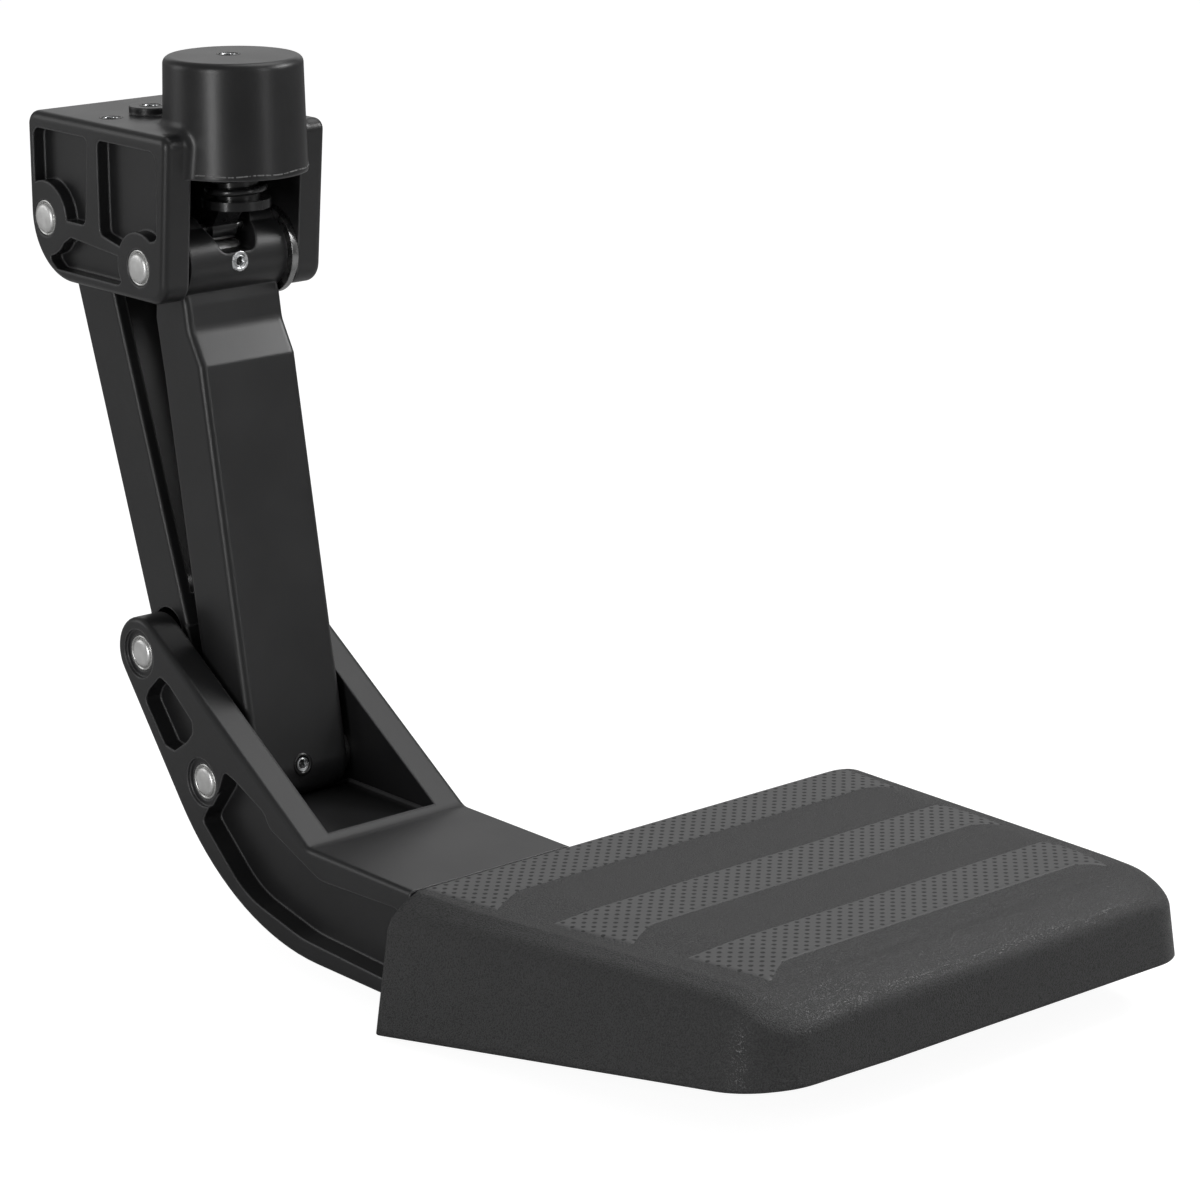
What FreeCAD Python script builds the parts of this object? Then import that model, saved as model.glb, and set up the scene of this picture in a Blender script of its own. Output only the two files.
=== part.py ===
"""Rear bumper step for a pickup: two cast arms hang from a bracket that holds an
over-centre spring, and carry a casting with a wide moulded tread pad."""
import FreeCAD, Part
import math
import os
from FreeCAD import Placement, Rotation, Vector

doc = FreeCAD.newDocument("rear_bumper_step")
sheet = doc.addObject("Spreadsheet::Sheet", "Sizes")

# Driving sizes in millimetres. Places are counted from the front upper pivot:
# y grows towards the vehicle, z grows upwards, x = 0 is the middle of the arms.
SIZES = [
    ("pivot_back", 14.0, "front upper pivot, behind the tapped hole of the spring housing"),
    ("pivot_drop", 110.0, "front upper pivot, below the top of the spring housing"),
    ("rear_pivot_back", 87.2, "rear upper pivot, behind the front one"),
    ("rear_pivot_rise", 14.8, "rear upper pivot, above the front one"),
    ("front_foot_back", -47.5, "front lower pivot, y"),
    ("front_foot_rise", -273.9, "front lower pivot, z"),
    ("rear_foot_back", 8.5, "rear lower pivot, y"),
    ("rear_foot_rise", -214.2, "rear lower pivot, z"),
    ("arm_width", 63.4, "both arms, along the pivots"),
    ("washer_thickness", 4.0, "thrust washer"),
    ("washer_play", 0.15, "gap on each side of a thrust washer"),
    ("ear_wall", 16.0, "one ear of the bracket"),
    ("cheek_wall", 18.0, "one cheek of the step casting"),
    ("pin_dia", 16.0, "pivot pins"),
    ("pin_play", 0.05, "radial running gap of a pin in its bush"),
    ("pin_proud", 1.0, "upper pins stand out of the ears by this"),
    ("bush_dia", 20.0, "outside of a bush"),
    ("bush_sink", 0.5, "bush end below the ear face"),
    ("counterbore_dia", 27.0, "seat round a lower bush"),
    ("counterbore_depth", 2.0, "its depth"),
    ("washer_bore_play", 0.3, "radial gap of a washer on its pin"),
    ("wide_washer_dia", 48.0, "upper front thrust washer on the right"),
    ("small_washer_dia", 29.0, "the other thrust washers"),
    ("bracket_front", -29.5, "front of the ears at the top"),
    ("bracket_toe", -22.0, "front of the ears at the bottom"),
    ("bracket_rear", 102.0, "rear face of the bracket"),
    ("bracket_top", 72.5, "top face of the plate"),
    ("bracket_bottom", -18.2, "lower edge of the ears"),
    ("bracket_rear_round", 35.5, "lower rear corner of an ear"),
    ("bracket_edge_round", 4.0, "rounded edge of an ear"),
    ("bay_top", 60.0, "underside of the plate, between the ears"),
    ("rear_web_bottom", 38.0, "lower edge of the web behind the arms"),
    ("rear_web_wall", 10.0, "that web"),
    ("ear_recess_depth", 7.5, "recesses in the outer face of an ear"),
    ("rib_wall", 8.7, "rib between two recesses, and their rim"),
    ("boss_reach", 20.5, "boss left round a pin in a recess"),
    ("housing_back", -18.0, "axis of the spring housing, y"),
    ("housing_bottom", 49.0, "lower rim of the housing"),
    ("housing_dia", 77.0, "housing at its lower rim"),
    ("housing_draft", 1.4, "its draft in degrees"),
    ("housing_edge_round", 4.0, "its upper edge"),
    ("housing_blend", 6.0, "hollow round from the housing to the plate"),
    ("spring_bore_play", 1.5, "gap between the spring seat and its bore"),
    ("spring_roof", 18.0, "housing wall above the spring"),
    ("tap_drill", 8.5, "hole for an M10 thread"),
    ("tap_depth", 15.0, "depth of the upper tapped hole"),
    ("plate_hole_left", -34.0, "tapped hole of the plate, x"),
    ("plate_hole_mid", -8.0, "ringed tapped hole of the plate, x"),
    ("plate_hole_back", 47.0, "both holes of the plate, y"),
    ("ring_boss_dia", 24.0, "raised ring round the middle hole"),
    ("ring_boss_rise", 4.0, "its height"),
    ("barrel_dia", 40.0, "upper end of the front arm"),
    ("foot_dia", 38.0, "lower end of the front arm"),
    ("arm_wall", 7.0, "side walls of the arms"),
    ("arm_face_wall", 9.0, "front wall of the front arm"),
    ("arm_edge_round", 4.0, "rounded long edges of the front arm"),
    ("rear_arm_edge_round", 2.0, "rounded long edges of the rear arm"),
    ("link_slot", 21.0, "slot for the push link in the barrel, at its floor"),
    ("link_slot_mouth", 37.0, "the same slot, at link_slot_rise above its floor"),
    ("link_slot_rise", 20.0, "floor to mouth of that slot"),
    ("link_slot_round", 5.0, "corners of its floor"),
    ("link_slot_floor", 5.0, "its floor, above the pivot"),
    ("link_arm", 15.5, "link pin, above the front pivot"),
    ("link_pin_dia", 6.0, "link pin"),
    ("link_lobe_dia", 17.0, "lobe of the barrel round the link pin"),
    ("link_width", 16.0, "push link, along the pin"),
    ("link_head_width", 12.0, "its head in the spring seat"),
    ("link_head_dia", 10.0, "its head"),
    ("link_eye_dia", 14.0, "its eye"),
    ("link_waist", 8.0, "its thickness"),
    ("link_head_rise", 40.0, "head of the push link, z"),
    ("seat_bottom", 29.6, "underside of the spring seat"),
    ("seat_flange", 4.8, "flange of the spring seat"),
    ("seat_dia", 37.0, "flange"),
    ("seat_cup_dia", 25.2, "cup inside the spring"),
    ("seat_cup_rise", 20.0, "cup above the flange"),
    ("seat_cup_wall", 2.6, "cup wall"),
    ("seat_mouth_dia", 31.0, "cone under the flange"),
    ("spring_play", 0.4, "gap between the cup and the spring"),
    ("spring_wire", 4.0, "its wire"),
    ("spring_turns", 7.0, "its turns"),
    ("rear_arm_front", 19.0, "rear arm, centre line to its open side"),
    ("rear_arm_back", 14.5, "rear arm, centre line to its back"),
    ("rear_barrel_dia", 40.0, "upper end of the rear arm"),
    ("eye_travel", 8.9, "open pivot: half length of the slot in the rear arm"),
    ("eye_slack", 5.0, "open pivot: gap round the pin, across the slot"),
    ("eye_wall", 4.5, "wall round that slot"),
    ("set_screw_dia", 8.0, "socket set screws"),
    ("hex_key", 4.0, "across flats of their socket"),
    ("cheek_boss_dia", 40.0, "cheek round the rear lower pivot"),
    ("step_top", -287.0, "flat top of the casting, z"),
    ("step_bottom", -350.5, "lower edge of the casting, z"),
    ("step_bend", -140.0, "where the sloping cheek meets the flat top, y"),
    ("step_sweep", 174.0, "radius of the swept lower edge"),
    ("step_wall", 7.5, "floor of the arm pocket, and the walls of the hollow wedge"),
    ("pocket_rim", -135.0, "front rim of the arm pocket, y"),
    ("slot_recess_depth", 10.0, "small recess in a cheek"),
    ("side_recess_depth", 12.0, "large recess in a cheek"),
    ("recess_rim", 9.0, "flange left round the large recess"),
    ("pad_back", -226.5, "rear edge of the tread pad, y"),
    ("pad_front", -459.5, "front edge at the height of the top, y"),
    ("pad_left", -61.0, "left rear corner at the top, x"),
    ("pad_left_front", -25.5, "left front corner at the top, x"),
    ("pad_right", 257.0, "right rear corner at the top, x"),
    ("pad_right_front", 243.5, "right front corner at the top, x"),
    ("pad_skirt_drop", 72.0, "rear depth of the pad below its top"),
    ("pad_front_drop", 45.5, "front depth of the pad below its top"),
    ("pad_left_flare", 18.0, "left rear corner of the rim, outside the top"),
    ("pad_left_front_flare", 4.0, "left front corner of the rim, outside the top"),
    ("pad_flare", 17.0, "lean of the pad's right side in degrees"),
    ("pad_front_lean", 9.0, "lean of its front in degrees"),
    ("pad_wall", 4.0, "wall of the pad"),
    ("pad_corner", 26.0, "front corners of the pad in plan"),
    ("pad_brow", -430.0, "where the sloping front band starts, y"),
    ("pad_brow_drop", 15.0, "fall of that band to the front edge"),
    ("pad_brow_round", 15.0, "soft bend between the top and the front band"),
    ("pad_top_round", 6.0, "rounded upper edge of the pad"),
    ("strip_rise", 1.2, "raised tread strips"),
    ("strip_depth", 36.0, "one strip, front to back"),
    ("strip_pitch", 80.5, "from strip to strip"),
    ("strip_left", -50.0, "left end of the strips at the pad's rear edge, x"),
    ("strip_left_lean", 0.262, "the left ends move in by this for each mm forward"),
    ("strip_margin", 13.0, "right end of a strip to the pad's edge"),
    ("strip_hook", 12.0, "both ends of a strip reach this much further forward"),
    ("strip_hook_run", 20.0, "length of strip that bends forward"),
    ("deck_gap", 0.3, "pad skin to the deck below it"),
    ("deck_wall", 7.0, "deck plate of the casting"),
    ("deck_margin", 12.0, "deck edge inside the pad's outer edge"),
    ("deck_rib_wall", 6.0, "ribs under the deck"),
    ("deck_rib_pitch", 62.0, "from rib to rib"),
    ("deck_cross_ribs", 5.0, "number of ribs across"),
    ("deck_rib_margin", 12.0, "rib edge above the pad's lower rim"),
    ("pad_boss_dia", 11.0, "screw bosses under the pad"),
    ("pad_screw_dia", 5.0, "pad screws"),
    ("pad_screw_head_dia", 16.0, "their washer heads"),
    ("pad_screw_head", 3.5, "height of their heads"),
]
for row, (alias, value, note) in enumerate(SIZES, start=1):
    sheet.set(f"A{row}", alias)
    sheet.set(f"B{row}", str(value))
    sheet.set(f"C{row}", note)
    sheet.setAlias(f"B{row}", alias)
doc.recompute()
size = {alias: sheet.get(alias) for alias, value, note in SIZES}


class Named:
    """The same sizes, read as attributes."""

    def __init__(self, values):
        self.__dict__.update(values)


s = Named(size)

# Places worked out from the driving sizes, as (y, z) on the side view.
FRONT_PIVOT = (0.0, 0.0)
REAR_PIVOT = (s.rear_pivot_back, s.rear_pivot_rise)
FRONT_FOOT = (s.front_foot_back, s.front_foot_rise)
REAR_FOOT = (s.rear_foot_back, s.rear_foot_rise)
LINK_PIVOT = (0.0, s.link_arm)
ARM_HALF = s.arm_width / 2
BAY_HALF = ARM_HALF + s.washer_thickness + 2 * s.washer_play
BRACKET_HALF = BAY_HALF + s.ear_wall
CARRIER_HALF = BAY_HALF + s.cheek_wall
PIN_RADIUS = s.pin_dia / 2
FAR = 600.0
WORDS = {
    "arm_half": "(Sizes.arm_width / 2)",
    "bay_half": "(Sizes.arm_width / 2 + Sizes.washer_thickness + 2 * Sizes.washer_play)",
}
WORDS["bracket_half"] = f"({WORDS['bay_half']} + Sizes.ear_wall)"
WORDS["carrier_half"] = f"({WORDS['bay_half']} + Sizes.cheek_wall)"

finished = []


def keep(item, label):
    """Label a finished sub-part and hang it from the part's own origin."""
    item.Label = label
    finished.append(item)
    return item


def place(item, along=0.0, back=0.0, rise=0.0, turn=None):
    """Place an item by its distance from the front upper pivot."""
    at = Vector(along, back + s.pivot_back, rise - s.pivot_drop)
    item.Placement = Placement(at, turn or Rotation())
    return item


def towards(start, end):
    """Unit vector from one (y, z) place to another, and its length."""
    dy, dz = end[0] - start[0], end[1] - start[1]
    length = math.hypot(dy, dz)
    return (dy / length, dz / length), length


def shifted(point, direction, distance):
    return (point[0] + direction[0] * distance, point[1] + direction[1] * distance)


def outline(points):
    """Face inside a closed outline; a third number rounds that corner."""
    corners = []
    count = len(points)
    area = sum(points[i - 1][0] * points[i][1] - points[i][0] * points[i - 1][1] for i in range(count))
    if area < 0:
        points = points[::-1]
    for index, point in enumerate(points):
        here = (point[0], point[1])
        radius = point[2] if len(point) > 2 else 0.0
        if radius <= 0.0:
            corners.append((here, here, None))
            continue
        back, back_length = towards(here, points[index - 1][:2])
        ahead, ahead_length = towards(here, points[(index + 1) % count][:2])
        half = math.acos(max(-1.0, min(1.0, back[0] * ahead[0] + back[1] * ahead[1]))) / 2
        reach = min(radius / math.tan(half), 0.48 * back_length, 0.48 * ahead_length)
        radius = reach * math.tan(half)
        middle = ((back[0] + ahead[0]) / (2 * math.cos(half)), (back[1] + ahead[1]) / (2 * math.cos(half)))
        crown = shifted(here, middle, radius / math.sin(half) - radius)
        corners.append((shifted(here, back, reach), shifted(here, ahead, reach), crown))
    edges = []
    for index, (entry, leave, crown) in enumerate(corners):
        if crown is not None:
            edges.append(Part.Arc(Vector(*entry, 0), Vector(*crown, 0), Vector(*leave, 0)).toShape())
        following = corners[(index + 1) % count][0]
        if math.dist(leave, following) > 1e-6:
            edges.append(Part.LineSegment(Vector(*leave, 0), Vector(*following, 0)).toShape())
    return Part.Face(Part.Wire(edges))


def disc(centre, radius):
    return Part.Face(Part.Wire(Part.makeCircle(radius, Vector(*centre, 0))))


def hull(first, first_radius, second, second_radius):
    """Face round two discs and their outer tangents."""
    ahead, length = towards(first, second)
    lean = math.asin((first_radius - second_radius) / length)
    points = []
    for side in (1, -1):
        turn = side * (math.pi / 2 - lean)
        normal = (ahead[0] * math.cos(turn) - ahead[1] * math.sin(turn),
                  ahead[0] * math.sin(turn) + ahead[1] * math.cos(turn))
        pair = [shifted(first, normal, first_radius), shifted(second, normal, second_radius)]
        points += pair if side == 1 else pair[::-1]
    shape = outline(points).fuse([disc(first, first_radius), disc(second, second_radius)])
    return shape.removeSplitter().Faces[0]


def counter_clockwise(edge):
    """Arc of a flat edge, drawn the way round that a sketch expects."""
    first, last = edge.FirstParameter, edge.LastParameter
    start, middle, end = edge.valueAt(first), edge.valueAt((first + last) / 2), edge.valueAt(last)
    if (middle - start).cross(end - start).z < 0:
        start, end = end, start
    return Part.Arc(start, middle, end)


def new_body(label):
    """A body whose own origin is the front upper pivot."""
    body = doc.addObject("PartDesign::Body", label)
    keep(body, label)
    body.setExpression("Placement.Base.y", "Sizes.pivot_back")
    body.setExpression("Placement.Base.z", "-Sizes.pivot_drop")
    return body


def sketch(body, label, role, *faces, offset=0.0):
    """Sketch on an origin plane of the body, from the edges of flat faces."""
    item = body.newObject("Sketcher::SketchObject", label)
    plane = next(entry for entry in body.Origin.OriginFeatures if entry.Role == role)
    item.AttachmentSupport = [(plane, "")]
    item.MapMode = "FlatFace"
    item.AttachmentOffset = Placement(Vector(0, 0, offset), Rotation())
    for face in faces:
        for flat in face.Faces:
            for edge in flat.Edges:
                curve = edge.Curve
                ends = (edge.FirstParameter, edge.LastParameter)
                if isinstance(curve, Part.Circle) and edge.isClosed():
                    item.addGeometry(Part.Circle(curve.Center, Vector(0, 0, 1), curve.Radius), False)
                elif isinstance(curve, Part.Circle):
                    item.addGeometry(counter_clockwise(edge), False)
                else:
                    item.addGeometry(Part.LineSegment(edge.valueAt(ends[0]), edge.valueAt(ends[1])), False)
    return item


def feature(body, kind, label, profile, length=None, symmetric=False, reversed_way=False):
    """Pad or pocket from a sketch; length is an expression of the sheet."""
    item = body.newObject(f"PartDesign::{kind}", label)
    item.Profile = profile
    item.Type = "Length"
    item.SideType = "Symmetric" if symmetric else "One side"
    item.Reversed = reversed_way
    item.setExpression("Length", length)
    profile.Visibility = False
    return item


def across(body, kind, label, face, half):
    """Pad or pocket of a side-view face, both ways from the middle plane."""
    profile = sketch(body, f"{label}_sketch", "YZ_Plane", face)
    return feature(body, kind, label, profile, f"2 * {half}", symmetric=True)


def both_sides(body, label, face, half_value, depth):
    """Pocket of a side-view face into both outer faces of a casting."""
    for side, word in ((-1, "left"), (1, "right")):
        profile = sketch(body, f"{label}_{word}_sketch", "YZ_Plane", face, offset=side * half_value)
        feature(body, "Pocket", f"{label}_{word}", profile, depth, reversed_way=side < 0)


def fillet(body, label, radius, test):
    """Round the edges of the body's tip that pass the test."""
    doc.recompute()
    base = body.Tip
    names = [f"Edge{number}" for number, edge in enumerate(base.Shape.Edges, start=1) if test(edge)]
    item = body.newObject("PartDesign::Fillet", label)
    item.Base = (base, names)
    item.setExpression("Radius", radius)
    return item


def lies_at(edge, axis, value):
    """True when the whole edge lies where this coordinate has this value."""
    box = edge.BoundBox
    low, high = {"x": (box.XMin, box.XMax), "y": (box.YMin, box.YMax), "z": (box.ZMin, box.ZMax)}[axis]
    return abs(low - value) < 1e-3 and abs(high - value) < 1e-3


def mounting_bracket():
    """Top casting: two ears, a tapped plate, a rear web and the spring housing."""
    body = new_body("mounting_bracket")
    side = outline([
        (s.bracket_front, s.bracket_top, 6), (s.bracket_rear, s.bracket_top, 8),
        (s.bracket_rear, s.bracket_bottom, s.bracket_rear_round), (s.bracket_toe, s.bracket_bottom, 12)])
    across(body, "Pad", "ear_block", side, WORDS["bracket_half"])
    fillet(body, "ear_edges", "Sizes.bracket_edge_round",
           lambda edge: lies_at(edge, "x", BRACKET_HALF) or lies_at(edge, "x", -BRACKET_HALF))
    web_front = s.bracket_rear - s.rear_web_wall
    bay = outline([
        (-FAR, s.bay_top), (web_front, s.bay_top, 8), (web_front, s.rear_web_bottom, 3),
        (FAR, s.rear_web_bottom), (FAR, -FAR), (-FAR, -FAR)])
    across(body, "Pocket", "arm_bay", bay, WORDS["bay_half"])
    housing = sketch(body, "housing_sketch", "XY_Plane", disc((0, s.housing_back), s.housing_dia / 2),
                     offset=s.housing_bottom)
    tower = feature(body, "Pad", "spring_housing", housing, "Sizes.pivot_drop - Sizes.housing_bottom")
    tower.setExpression("TaperAngle", "-Sizes.housing_draft")
    fillet(body, "housing_edge", "Sizes.housing_edge_round", lambda edge: lies_at(edge, "z", s.pivot_drop))
    fillet(body, "housing_blend", "Sizes.housing_blend",
           lambda edge: lies_at(edge, "z", s.bracket_top) and isinstance(edge.Curve, Part.Circle))
    ring_face = disc((s.plate_hole_mid, s.plate_hole_back), s.ring_boss_dia / 2)
    boss = sketch(body, "ring_boss_sketch", "XY_Plane", ring_face, offset=s.bracket_top - 1)
    feature(body, "Pad", "ring_boss", boss, "Sizes.ring_boss_rise + 1")
    rim = s.rib_wall
    top, rear = s.bracket_top - rim, s.bracket_rear - rim + 3
    rib = s.rear_pivot_back / 2 - 4
    bosses = [disc(REAR_PIVOT, s.boss_reach), disc(FRONT_PIVOT, s.boss_reach - 1.5)]
    upper_rear = outline([(rib + rim / 2, top, 4), (rear, top, 6), (rear, 16.0), (rib + rim, 16.0, 4)])
    upper_front = outline([(s.bracket_front + 10.5, top, 6), (rib - rim / 2, top, 4),
                           (rib - rim / 2, 13.2, 4), (15.1, 8.8), (-17.7, 17.1, 4)])
    lower = outline([(63, 7.4, 4), (15.5, 3.4, 4), (15.5, -12, 5), (77.7, -12, 5), (86, -6, 3)])
    depth = "Sizes.ear_recess_depth"
    both_sides(body, "upper_rear_recess", upper_rear.cut(bosses[0]), BRACKET_HALF, depth)
    both_sides(body, "upper_front_recess", upper_front.cut(bosses[1]), BRACKET_HALF, depth)
    both_sides(body, "lower_recess", lower.cut(bosses[0]).cut(bosses[1]), BRACKET_HALF, depth)
    bores = [disc(FRONT_PIVOT, s.bush_dia / 2), disc(REAR_PIVOT, s.bush_dia / 2)]
    for number, bore in enumerate(bores, start=1):
        across(body, "Pocket", f"bush_bore_{number}", bore, WORDS["bracket_half"])
    bore = disc((0, s.housing_back), s.seat_dia / 2 + s.spring_bore_play)
    spring = sketch(body, "spring_bore_sketch", "XY_Plane", bore, offset=s.housing_bottom - 10)
    feature(body, "Pocket", "spring_bore", spring,
            "Sizes.pivot_drop - Sizes.spring_roof - Sizes.housing_bottom + 10", reversed_way=True)
    top_hole = disc((0, -s.pivot_back), s.tap_drill / 2)
    tapped = sketch(body, "top_tap_sketch", "XY_Plane", top_hole, offset=s.pivot_drop)
    feature(body, "Pocket", "top_tapped_hole", tapped, "Sizes.tap_depth")
    plate = sketch(body, "plate_tap_sketch", "XY_Plane",
                   disc((s.plate_hole_left, s.plate_hole_back), s.tap_drill / 2),
                   disc((s.plate_hole_mid, s.plate_hole_back), s.tap_drill / 2),
                   offset=s.bracket_top + s.ring_boss_rise + 1)
    feature(body, "Pocket", "plate_tapped_holes", plate,
            "Sizes.bracket_top - Sizes.bay_top + Sizes.ring_boss_rise + 2")


def cylinder(label, radius, length, start, at, centre=True):
    """Cylinder along x whose sizes are expressions of the sheet."""
    item = doc.addObject("Part::Cylinder", label)
    item.setExpression("Radius", radius)
    item.setExpression("Height", length)
    place(item, 0, at[0], at[1], Rotation(Vector(0, 1, 0), 90))
    item.setExpression("Placement.Base.x", start)
    return item


def ring(label, outer, inner, length, start, at):
    """Ring along x: a bush or a washer."""
    item = doc.addObject("Part::Cut", label)
    item.Base = cylinder(f"{label}_blank", outer, length, start, at)
    item.Tool = cylinder(f"{label}_bore", inner, length, start, at)
    return keep(item, label)


def pins_bushes_and_washers():
    """Four cross pins, each in two bushes, with a thrust washer at each arm face."""
    small, wide = "Sizes.small_washer_dia", "Sizes.wide_washer_dia"
    pivots = [
        ("front_upper", FRONT_PIVOT, "bracket_half", "Sizes.bush_sink", "Sizes.ear_wall", wide),
        ("rear_upper", REAR_PIVOT, "bracket_half", "Sizes.bush_sink", "Sizes.ear_wall", small),
        ("front_lower", FRONT_FOOT, "carrier_half", "Sizes.counterbore_depth", "Sizes.cheek_wall", small),
        ("rear_lower", REAR_FOOT, "carrier_half", "Sizes.counterbore_depth", "Sizes.cheek_wall", small),
    ]
    pin_side, bush_side = "Sizes.pin_dia / 2", "Sizes.bush_dia / 2"
    gap = "(Sizes.washer_play + Sizes.washer_thickness)"
    for name, at, half, sink, wall, right_washer in pivots:
        outer, inner, arm = WORDS[half], WORDS["bay_half"], WORDS["arm_half"]
        reach = f"({outer} + Sizes.pin_proud)" if half == "bracket_half" else f"({outer} - Sizes.pin_proud)"
        keep(cylinder(f"{name}_pin", pin_side, f"2 * {reach}", f"-{reach}", at), f"{name}_pin")
        for word in ("left", "right"):
            bush_start = f"-({outer} - {sink})" if word == "left" else inner
            ring(f"{name}_bush_{word}", bush_side, f"{pin_side} + Sizes.pin_play", f"{wall} - {sink}",
                 bush_start, at)
            washer_start = f"-({arm} + {gap})" if word == "left" else f"{arm} + Sizes.washer_play"
            ring(f"{name}_washer_{word}", f"{small if word == 'left' else right_washer} / 2",
                 f"{pin_side} + Sizes.washer_bore_play", "Sizes.washer_thickness", washer_start, at)


def set_screw(label, at, outward, reach):
    """Socket set screw that presses on a pin; outward is its way out of the arm."""
    start = PIN_RADIUS
    length = reach - start
    turn = Rotation(Vector(0, 0, 1), Vector(0, outward[0], outward[1]))
    foot = shifted(at, outward, start)
    shank = doc.addObject("Part::Cylinder", f"{label}_shank")
    shank.setExpression("Radius", "Sizes.set_screw_dia / 2")
    shank.Height = length
    place(shank, 0, foot[0], foot[1], turn)
    socket = doc.addObject("Part::Prism", f"{label}_socket")
    socket.Polygon = 6
    socket.setExpression("Circumradius", "Sizes.hex_key / sqrt(3)")
    socket.Height = length
    key = shifted(at, outward, reach - min(5.0, length / 2))
    place(socket, 0, key[0], key[1], turn)
    item = doc.addObject("Part::Cut", label)
    item.Base = shank
    item.Tool = socket
    return keep(item, label)


def screw_hole(body, label, at, outward, reach):
    """Threaded hole of a set screw, from the pin bore to outside the arm."""
    doc.recompute()
    before = body.Shape.Volume
    hole = body.newObject("PartDesign::SubtractiveCylinder", label)
    hole.setExpression("Radius", "Sizes.set_screw_dia / 2")
    hole.Height = reach
    turn = Rotation(Vector(0, 0, 1), Vector(0, outward[0], outward[1]))
    hole.Placement = Placement(Vector(0, at[0], at[1]), turn)
    doc.recompute()
    assert body.Shape.Volume < before


def front_arm():
    """Front arm: a channel casting with a slotted barrel above and an eye below."""
    body = new_body("front_arm")
    radius = s.barrel_dia / 2
    foot = s.foot_dia / 2
    ahead, length = towards(FRONT_PIVOT, FRONT_FOOT)
    front = (ahead[1], -ahead[0])
    crease = (-26.0, -52.5)
    heel = shifted(FRONT_FOOT, front, foot)
    back = shifted(FRONT_FOOT, front, -foot)
    beam = outline([(-8, 0), (-13.8, -22, 14), (-16, -35, 14), (crease[0], crease[1], 3), heel, back,
                    (10.3, -61.7, 20), (16.5, -32, 10), (14, 0)])
    lobe = hull(FRONT_PIVOT, s.link_lobe_dia / 2, LINK_PIVOT, s.link_lobe_dia / 2)
    side = beam.fuse([disc(FRONT_PIVOT, radius), disc(FRONT_FOOT, foot), lobe]).removeSplitter()
    across(body, "Pad", "arm_block", side, WORDS["arm_half"])
    fillet(body, "arm_edges", "Sizes.arm_edge_round",
           lambda edge: (lies_at(edge, "x", ARM_HALF) or lies_at(edge, "x", -ARM_HALF))
           and edge.BoundBox.ZMax < s.link_lobe_dia / 2)
    down, run = towards(crease, heel)
    inward = (-down[1], down[0])
    upper = shifted(shifted(crease, down, 12), inward, s.arm_face_wall)
    lower = shifted(shifted(crease, down, run - 28), inward, s.arm_face_wall)
    hollow = outline([(upper[0], upper[1], 10), (lower[0], lower[1], 10),
                      (lower[0] + 90, lower[1] - 18), (upper[0] + 90, upper[1] - 2)])
    across(body, "Pocket", "arm_hollow", hollow, f"({WORDS['arm_half']} - Sizes.arm_wall)")
    floor, mouth = s.link_slot / 2, s.link_slot_mouth / 2
    low, high = s.link_slot_floor, s.link_slot_floor + s.link_slot_rise
    slot = outline([(-floor, low, s.link_slot_round), (floor, low, s.link_slot_round), (mouth, high),
                    (mouth, FAR), (-mouth, FAR), (-mouth, high)])
    slot_plan = sketch(body, "link_slot_sketch", "XZ_Plane", slot)
    feature(body, "Pocket", "link_slot_cut", slot_plan, "4 * Sizes.barrel_dia", symmetric=True)
    across(body, "Pocket", "front_pivot_bore", disc(FRONT_PIVOT, PIN_RADIUS), WORDS["arm_half"])
    across(body, "Pocket", "front_foot_bore", disc(FRONT_FOOT, PIN_RADIUS), WORDS["arm_half"])
    across(body, "Pocket", "link_pin_bore", disc(LINK_PIVOT, s.link_pin_dia / 2), WORDS["arm_half"])
    screw_hole(body, "upper_screw_hole", FRONT_PIVOT, (-1.0, 0.0), radius + 5)
    screw_hole(body, "lower_screw_hole", FRONT_FOOT, front, foot + 5)
    set_screw("front_upper_set_screw", FRONT_PIVOT, (-1.0, 0.0), radius - 0.5)
    set_screw("front_lower_set_screw", FRONT_FOOT, front, foot - 0.5)
    keep(cylinder("link_pin", "Sizes.link_pin_dia / 2", "2 * (Sizes.arm_width / 2 - 1)",
                  "-(Sizes.arm_width / 2 - 1)", LINK_PIVOT), "link_pin")


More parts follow.
